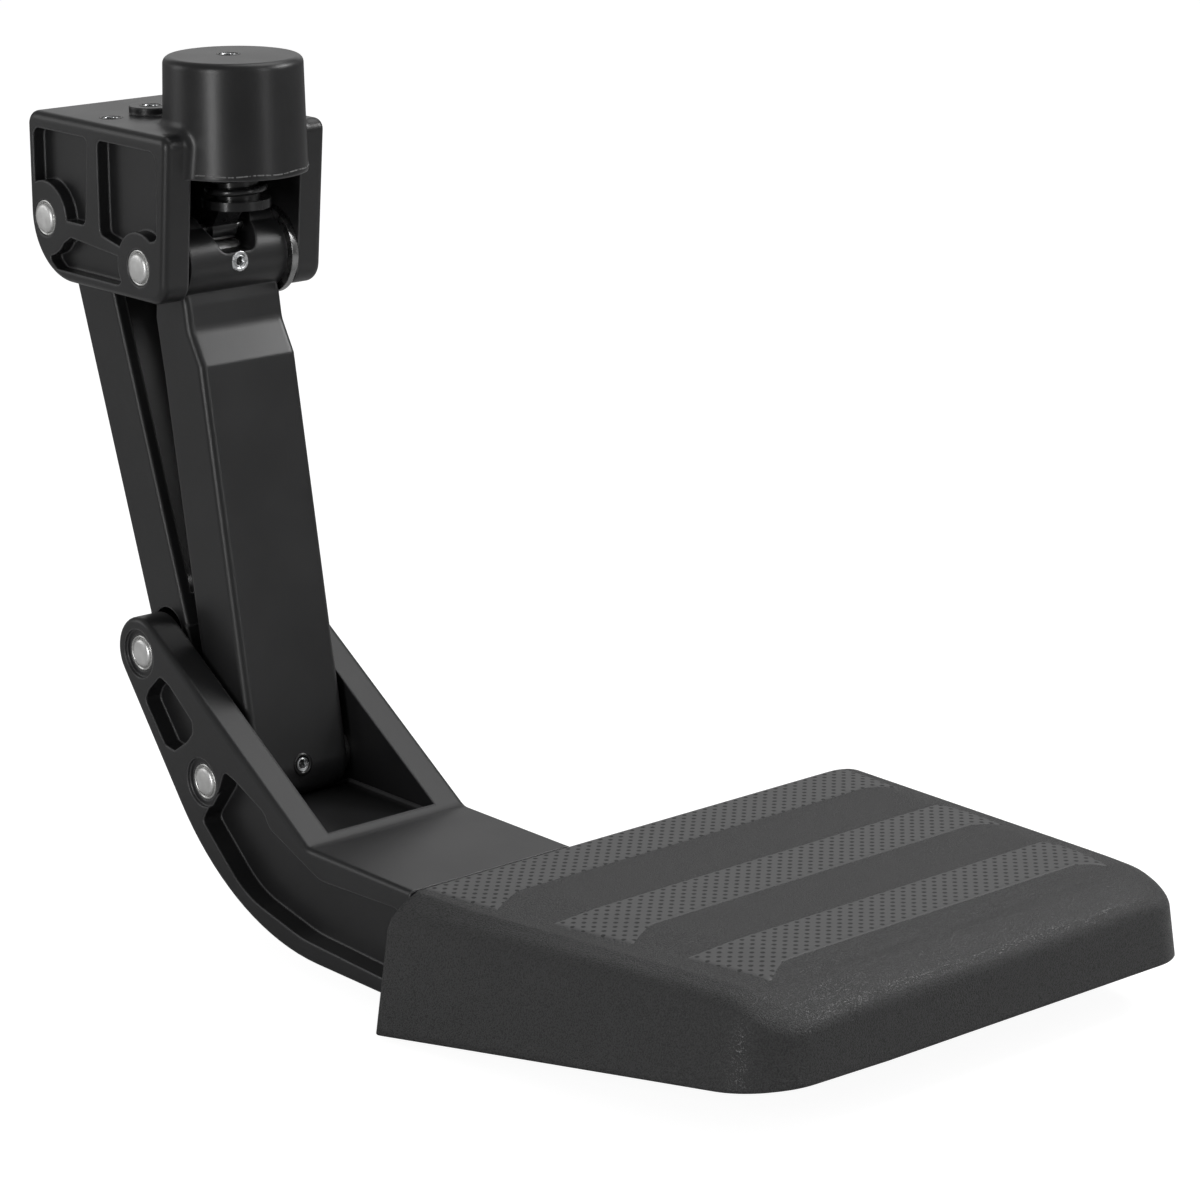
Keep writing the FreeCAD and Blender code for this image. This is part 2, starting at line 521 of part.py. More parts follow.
def rear_arm():
    """Rear arm: a channel casting open towards the front arm."""
    body = new_body("rear_arm")
    ahead, length = towards(REAR_PIVOT, REAR_FOOT)
    rearward = (-ahead[1], ahead[0])
    radius = s.rear_barrel_dia / 2
    eye = PIN_RADIUS + s.eye_slack
    slot_top = shifted(REAR_FOOT, ahead, -s.eye_travel)
    slot_end = shifted(REAR_FOOT, ahead, s.eye_travel)
    beam = outline([
        shifted(REAR_PIVOT, rearward, s.rear_arm_back), shifted(slot_top, rearward, s.rear_arm_back),
        shifted(slot_top, rearward, -s.rear_arm_front), shifted(REAR_PIVOT, rearward, -s.rear_arm_front)])
    lug = hull(slot_top, eye + s.eye_wall, slot_end, eye + s.eye_wall)
    side = beam.fuse([disc(REAR_PIVOT, radius), lug]).removeSplitter()
    across(body, "Pad", "arm_block", side, WORDS["arm_half"])
    fillet(body, "arm_edges", "Sizes.rear_arm_edge_round",
           lambda edge: (lies_at(edge, "x", ARM_HALF) or lies_at(edge, "x", -ARM_HALF))
           and isinstance(edge.Curve, Part.Line))
    start = shifted(REAR_PIVOT, ahead, radius + 8)
    end = shifted(slot_top, ahead, -(eye + s.eye_wall))
    floor = s.rear_arm_back - s.arm_wall
    inner_top = shifted(start, rearward, floor)
    inner_end = shifted(end, rearward, floor)
    outer_top = shifted(start, rearward, -60)
    outer_end = shifted(end, rearward, -60)
    hollow = outline([(*inner_top, 10), outer_top, outer_end, (*inner_end, 10)])
    across(body, "Pocket", "arm_hollow", hollow, f"({WORDS['arm_half']} - Sizes.arm_wall)")
    across(body, "Pocket", "rear_pivot_bore", disc(REAR_PIVOT, PIN_RADIUS), WORDS["arm_half"])
    across(body, "Pocket", "open_eye", hull(slot_top, eye, slot_end, eye), WORDS["arm_half"])
    screw_hole(body, "upper_screw_hole", REAR_PIVOT, rearward, radius + 5)
    set_screw("rear_upper_set_screw", REAR_PIVOT, rearward, radius - 0.5)


def spring_column():
    """Over-centre spring: seat, coil and the push link down to the front arm."""
    seat = new_body("spring_seat")
    low, high = s.seat_bottom, s.seat_bottom + s.seat_flange
    crown = high + s.seat_cup_rise
    cup, bore = s.seat_cup_dia / 2, s.seat_cup_dia / 2 - s.seat_cup_wall
    centre = s.housing_back
    section = outline([
        (centre + s.seat_mouth_dia / 2, low), (centre + s.seat_dia / 2, low), (centre + s.seat_dia / 2, high),
        (centre + cup, high), (centre + cup, crown, 2), (centre, crown), (centre, crown - s.seat_cup_wall),
        (centre + bore, crown - s.seat_cup_wall, 2), (centre + bore, high + 3)])
    profile = sketch(seat, "seat_sketch", "YZ_Plane", section)
    profile.addGeometry(Part.LineSegment(Vector(centre, low, 0), Vector(centre, crown + 5, 0)), True)
    turned = seat.newObject("PartDesign::Revolution", "turned_seat")
    turned.Profile = profile
    turned.ReferenceAxis = (profile, ["Axis0"])
    turned.Angle = 360
    profile.Visibility = False

    link = new_body("push_link")
    head = (s.housing_back, s.link_head_rise)
    ahead, length = towards(LINK_PIVOT, head)
    neck = shifted(head, ahead, -s.link_head_dia)
    eye = s.link_eye_dia / 2
    shank = hull(LINK_PIVOT, s.link_waist / 2, neck, s.link_waist / 2)
    shank = shank.fuse(disc(LINK_PIVOT, eye)).removeSplitter()
    across(link, "Pad", "link_shank", shank, "(Sizes.link_width / 2)")
    across(link, "Pad", "link_head", hull(neck, s.link_waist / 2, head, s.link_head_dia / 2),
           "(Sizes.link_head_width / 2)")
    bore = disc(LINK_PIVOT, s.link_pin_dia / 2 + s.pin_play)
    across(link, "Pocket", "link_eye", bore, "(Sizes.link_width / 2)")

    spring = doc.addObject("Part::Feature", "compression_spring")
    spring.Shape = coil(s.pivot_drop - s.spring_roof - high)
    place(keep(spring, "compression_spring"), 0, s.housing_back, high)


def coil(height):
    """Compression spring with one closed turn at each end, as flat facets along a helix."""
    per_turn, sides = 16, 8
    mean = s.seat_cup_dia / 2 + s.spring_play + s.spring_wire / 2
    closed_pitch = 1.08 * s.spring_wire
    open_pitch = (height - s.spring_wire - 2 * closed_pitch) / (s.spring_turns - 2)
    rings = []
    for step in range(int(s.spring_turns * per_turn) + 1):
        turn = step / per_turn
        open_turns = min(max(turn - 1, 0), s.spring_turns - 2)
        rise = s.spring_wire / 2 + open_turns * open_pitch + (turn - open_turns) * closed_pitch
        angle = 2 * math.pi * turn
        ring_points = []
        for side in range(sides):
            around = 2 * math.pi * (side + 0.5) / sides
            reach = mean + s.spring_wire / 2 * math.cos(around)
            ring_points.append(Vector(reach * math.cos(angle), reach * math.sin(angle),
                                      rise + s.spring_wire / 2 * math.sin(around)))
        rings.append(ring_points)
    faces = [flat_face(rings[0][::-1]), flat_face(rings[-1])]
    for lower, upper in zip(rings, rings[1:]):
        for side in range(sides):
            following = (side + 1) % sides
            faces.append(flat_face([lower[side], lower[following], upper[following]]))
            faces.append(flat_face([lower[side], upper[following], upper[side]]))
    shell = Part.makeShell(faces)
    shell.sewShape()
    solid = Part.makeSolid(shell)
    if solid.Volume < 0:
        solid.reverse()
    return solid


def flat_face(points):
    return Part.Face(Part.makePolygon(points + points[:1]))


def pad_edge(drop, inset):
    """Plan of the pad at a depth below its top, inset by a wall."""
    share = drop / s.pad_skirt_drop
    right_flare = math.tan(math.radians(s.pad_flare)) * drop - inset / math.cos(math.radians(s.pad_flare))
    front = s.pad_front - math.tan(math.radians(s.pad_front_lean)) * drop + inset
    back = s.pad_back - inset
    right_lean = (s.pad_right - s.pad_right_front) / (s.pad_back - s.pad_front)
    left_back = s.pad_left - s.pad_left_flare * share + inset
    left_front = s.pad_left_front - s.pad_left_front_flare * share + inset
    right_back = s.pad_right + right_flare
    right_front = s.pad_right + right_flare - right_lean * (s.pad_back - front)
    front_round = max(s.pad_corner - inset, 2)
    return outline([(left_back, back), (right_back, back),
                    (right_front, front, front_round), (left_front, front, front_round)])


def pad_block(label, inset):
    """Solid between the pad's top and rim; inset makes the hollow inside it."""
    body = doc.addObject("PartDesign::Body", label)
    top = s.step_top - s.strip_rise
    drop = s.pad_skirt_drop + 4
    upper = sketch(body, f"{label}_top_sketch", "XY_Plane", pad_edge(inset, inset), offset=top - inset)
    lower = sketch(body, f"{label}_rim_sketch", "XY_Plane", pad_edge(drop, inset), offset=top - drop)
    loft = body.newObject("PartDesign::AdditiveLoft", f"{label}_loft")
    loft.Profile = upper
    loft.Sections = [lower]
    loft.Ruled = True
    brow = (s.pad_brow, top - inset)
    fall = s.pad_brow_drop / (s.pad_brow - s.pad_front)
    tip = (s.pad_front - 60, top - inset - fall * (s.pad_brow - s.pad_front + 60))
    band = outline([brow, tip, (tip[0], top + 20), (brow[0], top + 20)])
    across(body, "Pocket", f"{label}_front_band", band, "500")
    if inset == 0:
        slope = (s.pad_skirt_drop - s.pad_front_drop) / (s.pad_back - s.pad_front)
        rear_rim = (s.pad_back + 30, top - s.pad_skirt_drop - 30 * slope)
        front_rim = (s.pad_front - 60, top - s.pad_front_drop + 60 * slope)
        under = outline([rear_rim, front_rim, (front_rim[0], top - 200), (rear_rim[0], top - 200)])
        across(body, "Pocket", f"{label}_rim_cut", under, "500")
    return body


def deck_rib_columns():
    """Middle planes of the ribs that run front to back under the deck, x."""
    count = int((s.pad_right_front - s.deck_margin - 20) // s.deck_rib_pitch) + 1
    return [10 + number * s.deck_rib_pitch for number in range(count)]


def deck_rib_rows():
    """Middle planes of the ribs that run across under the deck, y."""
    first, last = s.pad_back - s.pad_wall - 3.5, s.pad_brow + 12
    spacing = (first - last) / (s.deck_cross_ribs - 1)
    return [first - number * spacing for number in range(int(s.deck_cross_ribs))]


def pad_screw_places():
    """Screw places of the pad as (x, y), in the middle of cells between ribs."""
    columns, rows = deck_rib_columns(), deck_rib_rows()
    return [(column + s.deck_rib_pitch / 2, (rear + front) / 2)
            for rear, front in (rows[:2], rows[-2:]) for column in columns[:-1]]


def is_upper_rim(edge, top):
    """True on the edge where the pad's top and front band meet its sides and front."""
    box = edge.BoundBox
    if box.ZMin < top - s.pad_brow_drop - 6 or box.YMin > s.pad_back - 1:
        return False
    crosses = box.XMax - box.XMin > 150 and box.YMin > s.pad_brow - 60 and box.YMax - box.YMin < 1
    at_front = box.YMax < s.pad_front + s.pad_corner / 2
    return at_front or not crosses


def step_pad():
    """Moulded tread pad: an open-bottomed cover with three raised strips."""
    outer = pad_block("pad_outer", 0.0)
    top = s.step_top - s.strip_rise
    fillet(outer, "pad_brow_round", "Sizes.pad_brow_round",
           lambda edge: lies_at(edge, "y", s.pad_brow) and lies_at(edge, "z", top))
    fillet(outer, "pad_top_round", "Sizes.pad_top_round", lambda edge: is_upper_rim(edge, top))
    right_lean = (s.pad_right - s.pad_right_front) / (s.pad_back - s.pad_front)
    for number in range(3):
        rear = s.pad_back - number * s.strip_pitch
        front = rear - s.strip_depth
        hook = front - s.strip_hook
        rows = (rear, front, hook)
        left = [s.strip_left + s.strip_left_lean * (s.pad_back - row) for row in rows]
        right = [s.pad_right - right_lean * (s.pad_back - row) - s.strip_margin for row in rows]
        face = outline([(left[0], rear, 2), (right[0], rear, 2), (right[2], hook, 3),
                        (right[1] - s.strip_hook_run, front, 12), (left[1] + s.strip_hook_run, front, 12),
                        (left[2], hook, 3)])
        plan = sketch(outer, f"strip_{number + 1}_sketch", "XY_Plane", face, offset=top - 1)
        feature(outer, "Pad", f"strip_{number + 1}", plan, "Sizes.strip_rise + 1")
    inner = pad_block("pad_hollow", s.pad_wall)
    half, roof = CARRIER_HALF + s.deck_gap, top - s.pad_wall
    mouth = outline([(-half, top - 200), (half, top - 200), (half, roof), (-half, roof)])
    notch = sketch(inner, "casting_notch_sketch", "XZ_Plane", mouth, offset=-s.pad_back - 20)
    feature(inner, "Pad", "casting_notch", notch, "60")
    shell = doc.addObject("Part::Cut", "pad_shell")
    shell.Base = outer
    shell.Tool = inner
    bosses = []
    skin = top - s.pad_wall
    boss_length = s.deck_wall + s.deck_gap - 0.3
    for number, (along, back) in enumerate(pad_screw_places(), start=1):
        boss = doc.addObject("Part::Cylinder", f"pad_boss_{number}")
        boss.setExpression("Radius", "Sizes.pad_boss_dia / 2")
        boss.Height = boss_length + 1
        boss.Placement = Placement(Vector(along, back, skin - boss_length), Rotation())
        bore = doc.addObject("Part::Cylinder", f"pad_boss_bore_{number}")
        bore.setExpression("Radius", "Sizes.pad_screw_dia / 2")
        bore.Height = boss_length
        bore.Placement = boss.Placement
        tube = doc.addObject("Part::Cut", f"pad_boss_tube_{number}")
        tube.Base = boss
        tube.Tool = bore
        bosses.append(tube)
    item = doc.addObject("Part::MultiFuse", "step_pad")
    item.Shapes = [shell] + bosses
    item.Refine = True
    return place(keep(item, "step_pad"))


def step_carrier():
    """Lower casting: cheeks round both arms, hollow wedge and ribbed deck."""
    body = new_body("step_carrier")
    down = towards((15.5, -237.8), (-4.4, -263.6))[0]
    boss = s.cheek_boss_dia / 2
    rear = shifted(REAR_FOOT, (-down[1], down[0]), boss)
    sweep = shifted(rear, down, (s.step_bottom - rear[1]) / down[1])
    bend = (s.step_bend, s.step_top)
    slope = towards(bend, (-8.8, -199.8))[0]
    nose = shifted(REAR_FOOT, (-slope[1], slope[0]), boss)
    side = outline([rear, (sweep[0], sweep[1], s.step_sweep), (s.pad_back, s.step_bottom),
                    (s.pad_back, s.step_top), (bend[0], bend[1], 10), nose]).fuse(disc(REAR_FOOT, boss))
    across(body, "Pad", "cheek_block", side.removeSplitter(), WORDS["carrier_half"])
    fillet(body, "cheek_edges", "3",
           lambda edge: (lies_at(edge, "x", CARRIER_HALF) or lies_at(edge, "x", -CARRIER_HALF))
           and not lies_at(edge, "y", s.pad_back))
    wall = shifted(rear, (down[1], -down[0]), s.step_wall)
    floor = shifted(wall, down, 91)
    pocket = outline([(FAR, 0), (FAR, wall[1]), wall, (floor[0], floor[1], 100), (-88, -326, 12),
                      (s.pocket_rim, s.step_top), (s.pocket_rim, 0)])
    clear = disc(REAR_FOOT, PIN_RADIUS + s.eye_slack + s.eye_wall + 2 * s.eye_travel + 2)
    pocket = pocket.fuse(clear).removeSplitter()
    across(body, "Pocket", "arm_pocket", pocket, WORDS["bay_half"])
    roof = s.step_top - s.step_wall - 6
    hollow = outline([(s.pocket_rim - s.step_wall, roof, 6), (-108, -330, 6), (-130, -FAR), (-FAR, -FAR),
                      (-FAR, roof)])
    across(body, "Pocket", "wedge_hollow", hollow, f"({WORDS['bay_half']} - 2)")
    notch = outline([(-10.9, -222.7, 4), (0.2, -232.9, 4), (3.9, -239.3, 4), (-13.5, -260.8, 4),
                     (-22.6, -262.2, 3), (-34.8, -254, 3), (-40.2, -247.9, 4), (-39.9, -241.6, 4),
                     (-19.2, -225.9, 4)])
    both_sides(body, "slot_recess", notch, CARRIER_HALF, "Sizes.slot_recess_depth")
    rim = s.recess_rim
    recess = outline([(-77.8, -265.4, 4), (-68, -262.5, 4), (-62.5, -275, 8), (-50, -291, 6), (-47, -296, 3),
                      (-84, -328, 60), (-134.3, -338.7, 80), (s.pad_back + rim, s.step_bottom + rim, 4),
                      (s.pad_back + rim, s.step_top - rim - 3, 4), (-151, -301.7, 20), (-107.5, -284.3, 10),
                      (-103.5, -277, 10)])
    both_sides(body, "side_recess", recess, CARRIER_HALF, "Sizes.side_recess_depth")
    deck_top = s.step_top - s.strip_rise - s.pad_wall - s.deck_gap
    margin = s.deck_margin
    lean = (s.pad_left_front - s.pad_left) / (s.pad_back - s.pad_front)
    right_lean = (s.pad_right - s.pad_right_front) / (s.pad_back - s.pad_front)
    back, front = s.pad_back - s.pad_wall - 0.5, s.pad_brow + 3
    deck = outline([
        (s.pad_left + margin, back), (s.pad_right - margin, back, 8),
        (s.pad_right - right_lean * (back - front) - margin, front, 12),
        (s.pad_left + lean * (back - front) + margin, front, 12)])
    joined = outline([(-CARRIER_HALF + 4, s.pad_back + 1), (CARRIER_HALF - 4, s.pad_back + 1),
                      (CARRIER_HALF - 4, back - 1), (-CARRIER_HALF + 4, back - 1)])
    plan = sketch(body, "deck_sketch", "XY_Plane", deck.fuse(joined).removeSplitter(), offset=deck_top)
    feature(body, "Pad", "deck_plate", plan, "Sizes.deck_wall", reversed_way=True)
    rim_slope = (s.pad_skirt_drop - s.pad_front_drop) / (s.pad_back - s.pad_front)
    rib_low = s.step_top - s.pad_skirt_drop + s.deck_rib_margin

    def rib_foot(row):
        return rib_low + rim_slope * (s.pad_back - row)

    under = deck_top - s.deck_wall + 1
    rib = outline([(back, under), (back, rib_foot(back), 6), (front + 6, rib_foot(front), 6),
                   (front + 6, under)])
    for number, column in enumerate(deck_rib_columns(), start=1):
        plan = sketch(body, f"deck_rib_{number}_sketch", "YZ_Plane", rib, offset=column)
        feature(body, "Pad", f"deck_rib_{number}", plan, "Sizes.deck_rib_wall", symmetric=True)
    for number, row in enumerate(deck_rib_rows(), start=1):
        left = s.pad_left + lean * (s.pad_back - row) + margin + 6
        right = s.pad_right - right_lean * (s.pad_back - row) - margin - 6
        face = outline([(left, under), (right, under), (right, rib_foot(row), 6), (left, rib_foot(row), 6)])
        plan = sketch(body, f"cross_rib_{number}_sketch", "XZ_Plane", face, offset=-row)
        feature(body, "Pad", f"cross_rib_{number}", plan, "Sizes.deck_rib_wall", symmetric=True)
    root = outline([(s.pad_back + 1, s.step_bottom), (s.pad_back + 1, under), (back - 5, under),
                    (back - 5, rib_foot(back)), (back, rib_foot(back))])
    across(body, "Pad", "wedge_root", root, f"({WORDS['carrier_half']} - 4)")
    for number, (along, row) in enumerate(pad_screw_places(), start=1):
        plan = sketch(body, f"boss_hole_{number}_sketch", "XY_Plane",
                      disc((along, row), s.pad_boss_dia / 2 + s.deck_gap), offset=deck_top + 1)
        feature(body, "Pocket", f"boss_hole_{number}", plan, "Sizes.deck_wall + 2")
    for name, at in (("front", FRONT_FOOT), ("rear", REAR_FOOT)):
        across(body, "Pocket", f"{name}_bush_bore", disc(at, s.bush_dia / 2), WORDS["carrier_half"])
        both_sides(body, f"{name}_counterbore", disc(at, s.counterbore_dia / 2), CARRIER_HALF,
                   "Sizes.counterbore_depth")


def pad_screws():
    """Screws that hold the pad down from below the deck."""
    deck_under = s.step_top - s.strip_rise - s.pad_wall - s.deck_gap - s.deck_wall
    solids = []
    head_radius, head_height = s.pad_screw_head_dia / 2, s.pad_screw_head
    for along, back in pad_screw_places():
        head = Part.makeCylinder(head_radius, head_height, Vector(along, back, deck_under - head_height))
        shank = Part.makeCylinder(s.pad_screw_dia / 2, s.deck_wall - 1, Vector(along, back, deck_under))
        solids.append(head.fuse(shank).removeSplitter())
    item = doc.addObject("Part::Feature", "pad_screws")
    item.Shape = Part.makeCompound(solids)
    place(keep(item, "pad_screws"))


mounting_bracket()
front_arm()
rear_arm()
spring_column()
pins_bushes_and_washers()
step_carrier()
step_pad()
pad_screws()
doc.recompute()

for item in doc.Objects:
    if "Invalid" in item.State or "Error" in item.State:
        raise RuntimeError(f"{item.Label} failed: {item.State}")
os.makedirs("parts", exist_ok=True)
for item in finished:
    shape = item.Shape
    if shape.isNull() or not shape.isValid():
        raise RuntimeError(f"{item.Label} has no valid shape")
    box = shape.BoundBox
    spans = [f"{low:7.1f} {high:7.1f}" for low, high in
             ((box.XMin, box.XMax), (box.YMin, box.YMax), (box.ZMin, box.ZMax))]
    print(f"{item.Label:28s} solids {len(shape.Solids)} volume {shape.Volume / 1000:9.2f} cm3", *spans)
for item in finished:
    item.Shape.exportStep(f"parts/{item.Label}.step")
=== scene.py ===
# %% [markdown]
# # Fold-down rear bumper step
#
# This notebook dresses an engineering model of a bumper step. The real step is
# four aluminium castings in black powder coat, joined by bright steel pins, with
# a moulded plastic tread pad at the end. The engineering solids already have the
# right places and nearly all the shapes. We give them finishes, and replace the
# parts whose surface is softer or finer than a solid model shows: the pad, the
# pins, the bushes, the screws and the spring.

# %% Load the engineering model
import math

import bmesh
import bpy
import numpy as np
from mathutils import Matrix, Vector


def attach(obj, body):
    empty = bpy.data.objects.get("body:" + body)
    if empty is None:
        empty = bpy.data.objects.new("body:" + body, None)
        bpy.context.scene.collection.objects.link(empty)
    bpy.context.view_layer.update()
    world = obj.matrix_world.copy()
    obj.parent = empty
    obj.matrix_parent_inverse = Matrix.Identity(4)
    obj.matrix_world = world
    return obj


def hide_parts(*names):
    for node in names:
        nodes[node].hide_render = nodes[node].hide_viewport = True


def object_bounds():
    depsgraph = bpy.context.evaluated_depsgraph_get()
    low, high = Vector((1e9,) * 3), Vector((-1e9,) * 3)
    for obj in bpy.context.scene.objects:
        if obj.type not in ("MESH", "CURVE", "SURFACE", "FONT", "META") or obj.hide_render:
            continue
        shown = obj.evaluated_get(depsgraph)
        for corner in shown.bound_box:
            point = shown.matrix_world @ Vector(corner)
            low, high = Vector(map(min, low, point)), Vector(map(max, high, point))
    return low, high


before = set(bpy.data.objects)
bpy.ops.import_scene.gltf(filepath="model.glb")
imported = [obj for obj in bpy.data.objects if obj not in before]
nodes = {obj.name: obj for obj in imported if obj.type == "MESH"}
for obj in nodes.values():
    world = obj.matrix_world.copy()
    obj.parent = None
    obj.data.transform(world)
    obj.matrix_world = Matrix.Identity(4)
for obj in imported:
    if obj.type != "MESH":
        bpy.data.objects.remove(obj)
cad_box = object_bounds()
print("engineering nodes:", len(nodes))

# %% [markdown]
# ## From drawing millimetres to scene metres
#
# The shapes were measured in millimetres from the front upper pivot. Blender works
# in metres from the tapped hole on top. One helper moves whole arrays of points
# from the first to the second, so every size below can stay in millimetres. The
# four pivots of the linkage are named here, because several pieces sit on them.

# %% Millimetres to metres
SHIFT = np.array([0.0, 14.0, -110.0])
PIVOTS = {"front_upper": (0.0, 0.0), "rear_upper": (87.2, 14.8),
          "front_lower": (-47.5, -273.9), "rear_lower": (8.5, -214.2)}


def to_scene(points):
    """Points in metres: the millimetre point plus the shift, divided by 1000."""
    return (np.asarray(points, float) + SHIFT) / 1000.0


print("pivots, y and z in millimetres:", PIVOTS)

# %% [markdown]
# ## One way to make a surface
#
# Every new piece is a grid of points: rows run one way over the surface, columns
# the other. Neighbouring points are joined by four-sided faces. If a direction is
# closed, its last line joins its first. The grid could be typed in by hand or made
# with loops; numpy makes the whole index table at once, which is short and fast.

# %% Surface from a grid of points
WELD = 1e-6


def grid_faces(rows, columns, closed_rows=False, closed_columns=False):
    """Index table of quads: corner (r, c) joins (r, c+1), (r+1, c+1) and (r+1, c)."""
    r = np.arange(rows if closed_rows else rows - 1)[:, None]
    c = np.arange(columns if closed_columns else columns - 1)[None, :]
    below, beside = (r + 1) % rows, (c + 1) % columns
    corners = [r * columns + c, r * columns + beside,
               below * columns + beside, below * columns + c]
    grids = [np.broadcast_to(corner, (r.size, c.size)) for corner in corners]
    return np.stack(grids, axis=-1).reshape(-1, 4)


def add_object(name, data):
    """New object at the origin, in the scene's own collection."""
    item = bpy.data.objects.new(name, data)
    bpy.context.scene.collection.objects.link(item)
    return item


def surface(name, points, body, material, closed_rows=False, closed_columns=False,
            flip=False, uv=None, solid=False):
    """Mesh object from a (rows, columns, 3) array in metres; uv is a (rows, columns, 2) array.
    A solid has no open edge, so Blender itself can turn its faces outwards."""
    points = np.asarray(points, float)
    rows, columns = points.shape[:2]
    quads = grid_faces(rows, columns, closed_rows, closed_columns)
    if flip:
        quads = quads[:, ::-1]
    mesh = bpy.data.meshes.new(name)
    mesh.from_pydata(points.reshape(-1, 3).tolist(), [], quads.tolist())
    mesh.polygons.foreach_set("use_smooth", np.ones(len(mesh.polygons), bool))
    if uv is not None:
        layer = mesh.uv_layers.new(name="UVMap")
        corner_vertex = np.empty(len(mesh.loops), int)
        mesh.loops.foreach_get("vertex_index", corner_vertex)
        layer.data.foreach_set("uv", np.asarray(uv, float).reshape(-1, 2)[corner_vertex].ravel())
    weld = bmesh.new()
    weld.from_mesh(mesh)
    bmesh.ops.remove_doubles(weld, verts=weld.verts, dist=WELD)
    if solid:
        bmesh.ops.recalc_face_normals(weld, faces=weld.faces)
    weld.to_mesh(mesh)
    weld.free()
    item = add_object(name, mesh)
    mesh.materials.append(material)
    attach(item, body)
    return item


print("a 3 by 4 grid has", len(grid_faces(3, 4)), "faces")

# %% [markdown]
# ## Shader maths that reads like arithmetic
#
# A procedural finish is a small calculation: noise makes a mask, the mask mixes two
# colours, and so on. In the node editor each sum is a box. Here one class wraps a
# socket and gives it + - and *, so the sum is written as a sum, and one method
# makes any other node from its type, its settings and its inputs.

# %% Sockets with operators
class Value:
    """A number that changes over the surface."""

    def __init__(self, finish, socket):
        self.finish = finish
        self.socket = socket

    def math(self, operation, first, second):
        return self.finish.node("ShaderNodeMath", {"operation": operation}, {0: first, 1: second})

    def __add__(self, other):
        return self.math("ADD", self, other)

    def __sub__(self, other):
        return self.math("SUBTRACT", self, other)

    def __rsub__(self, other):
        return self.math("SUBTRACT", other, self)

    def __mul__(self, other):
        return self.math("MULTIPLY", self, other)

    def power(self, exponent):
        return self.math("POWER", self, exponent)

    def fraction(self):
        return self.math("FRACT", self, 0.0)


class Finish:
    """A material whose nodes are made by one method."""

    def __init__(self, name, colour, roughness, metallic=0.0):
        self.material = bpy.data.materials.new(name)
        self.material.use_nodes = True
        self.tree = self.material.node_tree
        self.shader = self.tree.nodes["Principled BSDF"]
        self.shader.inputs["Base Color"].default_value = (*colour, 1.0)
        self.shader.inputs["Roughness"].default_value = roughness
        self.shader.inputs["Metallic"].default_value = metallic

    def node(self, kind, settings=(), inputs=(), output=0):
        """New node; its settings first, then the values or links of its sockets."""
        item = self.tree.nodes.new(kind)
        for name, value in dict(settings).items():
            setattr(item, name, value)
        for socket, value in dict(inputs).items():
            if isinstance(value, Value):
                self.tree.links.new(value.socket, item.inputs[socket])
            else:
                item.inputs[socket].default_value = value
        return Value(self, item.outputs[output])

    def feed(self, socket, value):
        """Links a value to a socket of the surface itself."""
        self.tree.links.new(value.socket, self.shader.inputs[socket])

    def place(self, output="Object"):
        """Where a point lies: in metres on the object, or on the piece's own UV map."""
        return self.node("ShaderNodeTexCoord", output=output)

    def noise(self, scale, detail=2.0, where=None, roughness=0.5):
        """Cloudy mask from 0 to 1; scale is in features per metre."""
        return self.node("ShaderNodeTexNoise", {}, {
            "Vector": where or self.place(), "Scale": scale, "Detail": detail,
            "Roughness": roughness})

    def between(self, value, low, high, out_low=0.0, out_high=1.0):
        """The value's range low..high, stretched softly to out_low..out_high."""
        return self.node("ShaderNodeMapRange", {"interpolation_type": "SMOOTHSTEP"}, {
            "Value": value, "From Min": low, "From Max": high,
            "To Min": out_low, "To Max": out_high})

    def blend(self, mask, dark, light):
        """Colour between two colours, by a mask."""
        return self.node("ShaderNodeMix", {"data_type": "RGBA"}, {
            0: mask, 6: dark if isinstance(dark, Value) else (*dark, 1.0),
            7: light if isinstance(light, Value) else (*light, 1.0)}, output=2)

    def parts(self, vector):
        """The x and y of a vector, as two values."""
        split = self.node("ShaderNodeSeparateXYZ", {}, {"Vector": vector})
        return split, Value(self, split.socket.node.outputs[1])

    def rounded(self, radius, samples=4):
        """Normal that turns gradually round every edge within a radius in metres."""
        return self.node("ShaderNodeBevel", {"samples": samples}, {"Radius": radius})

    def relief(self, height, distance, strength=1.0, normal=None):
        """Normal bent by a height mask; distance is the relief in metres."""
        inputs = {"Height": height, "Distance": distance, "Strength": strength}
        if normal is not None:
            inputs["Normal"] = normal
        return self.node("ShaderNodeBump", {}, inputs)


def tinted(colour, share):
    """The same colour, lighter or darker: every part times the share."""
    return tuple(share * part for part in colour)


print("a socket can be added, subtracted, multiplied, raised and cut to its fraction")
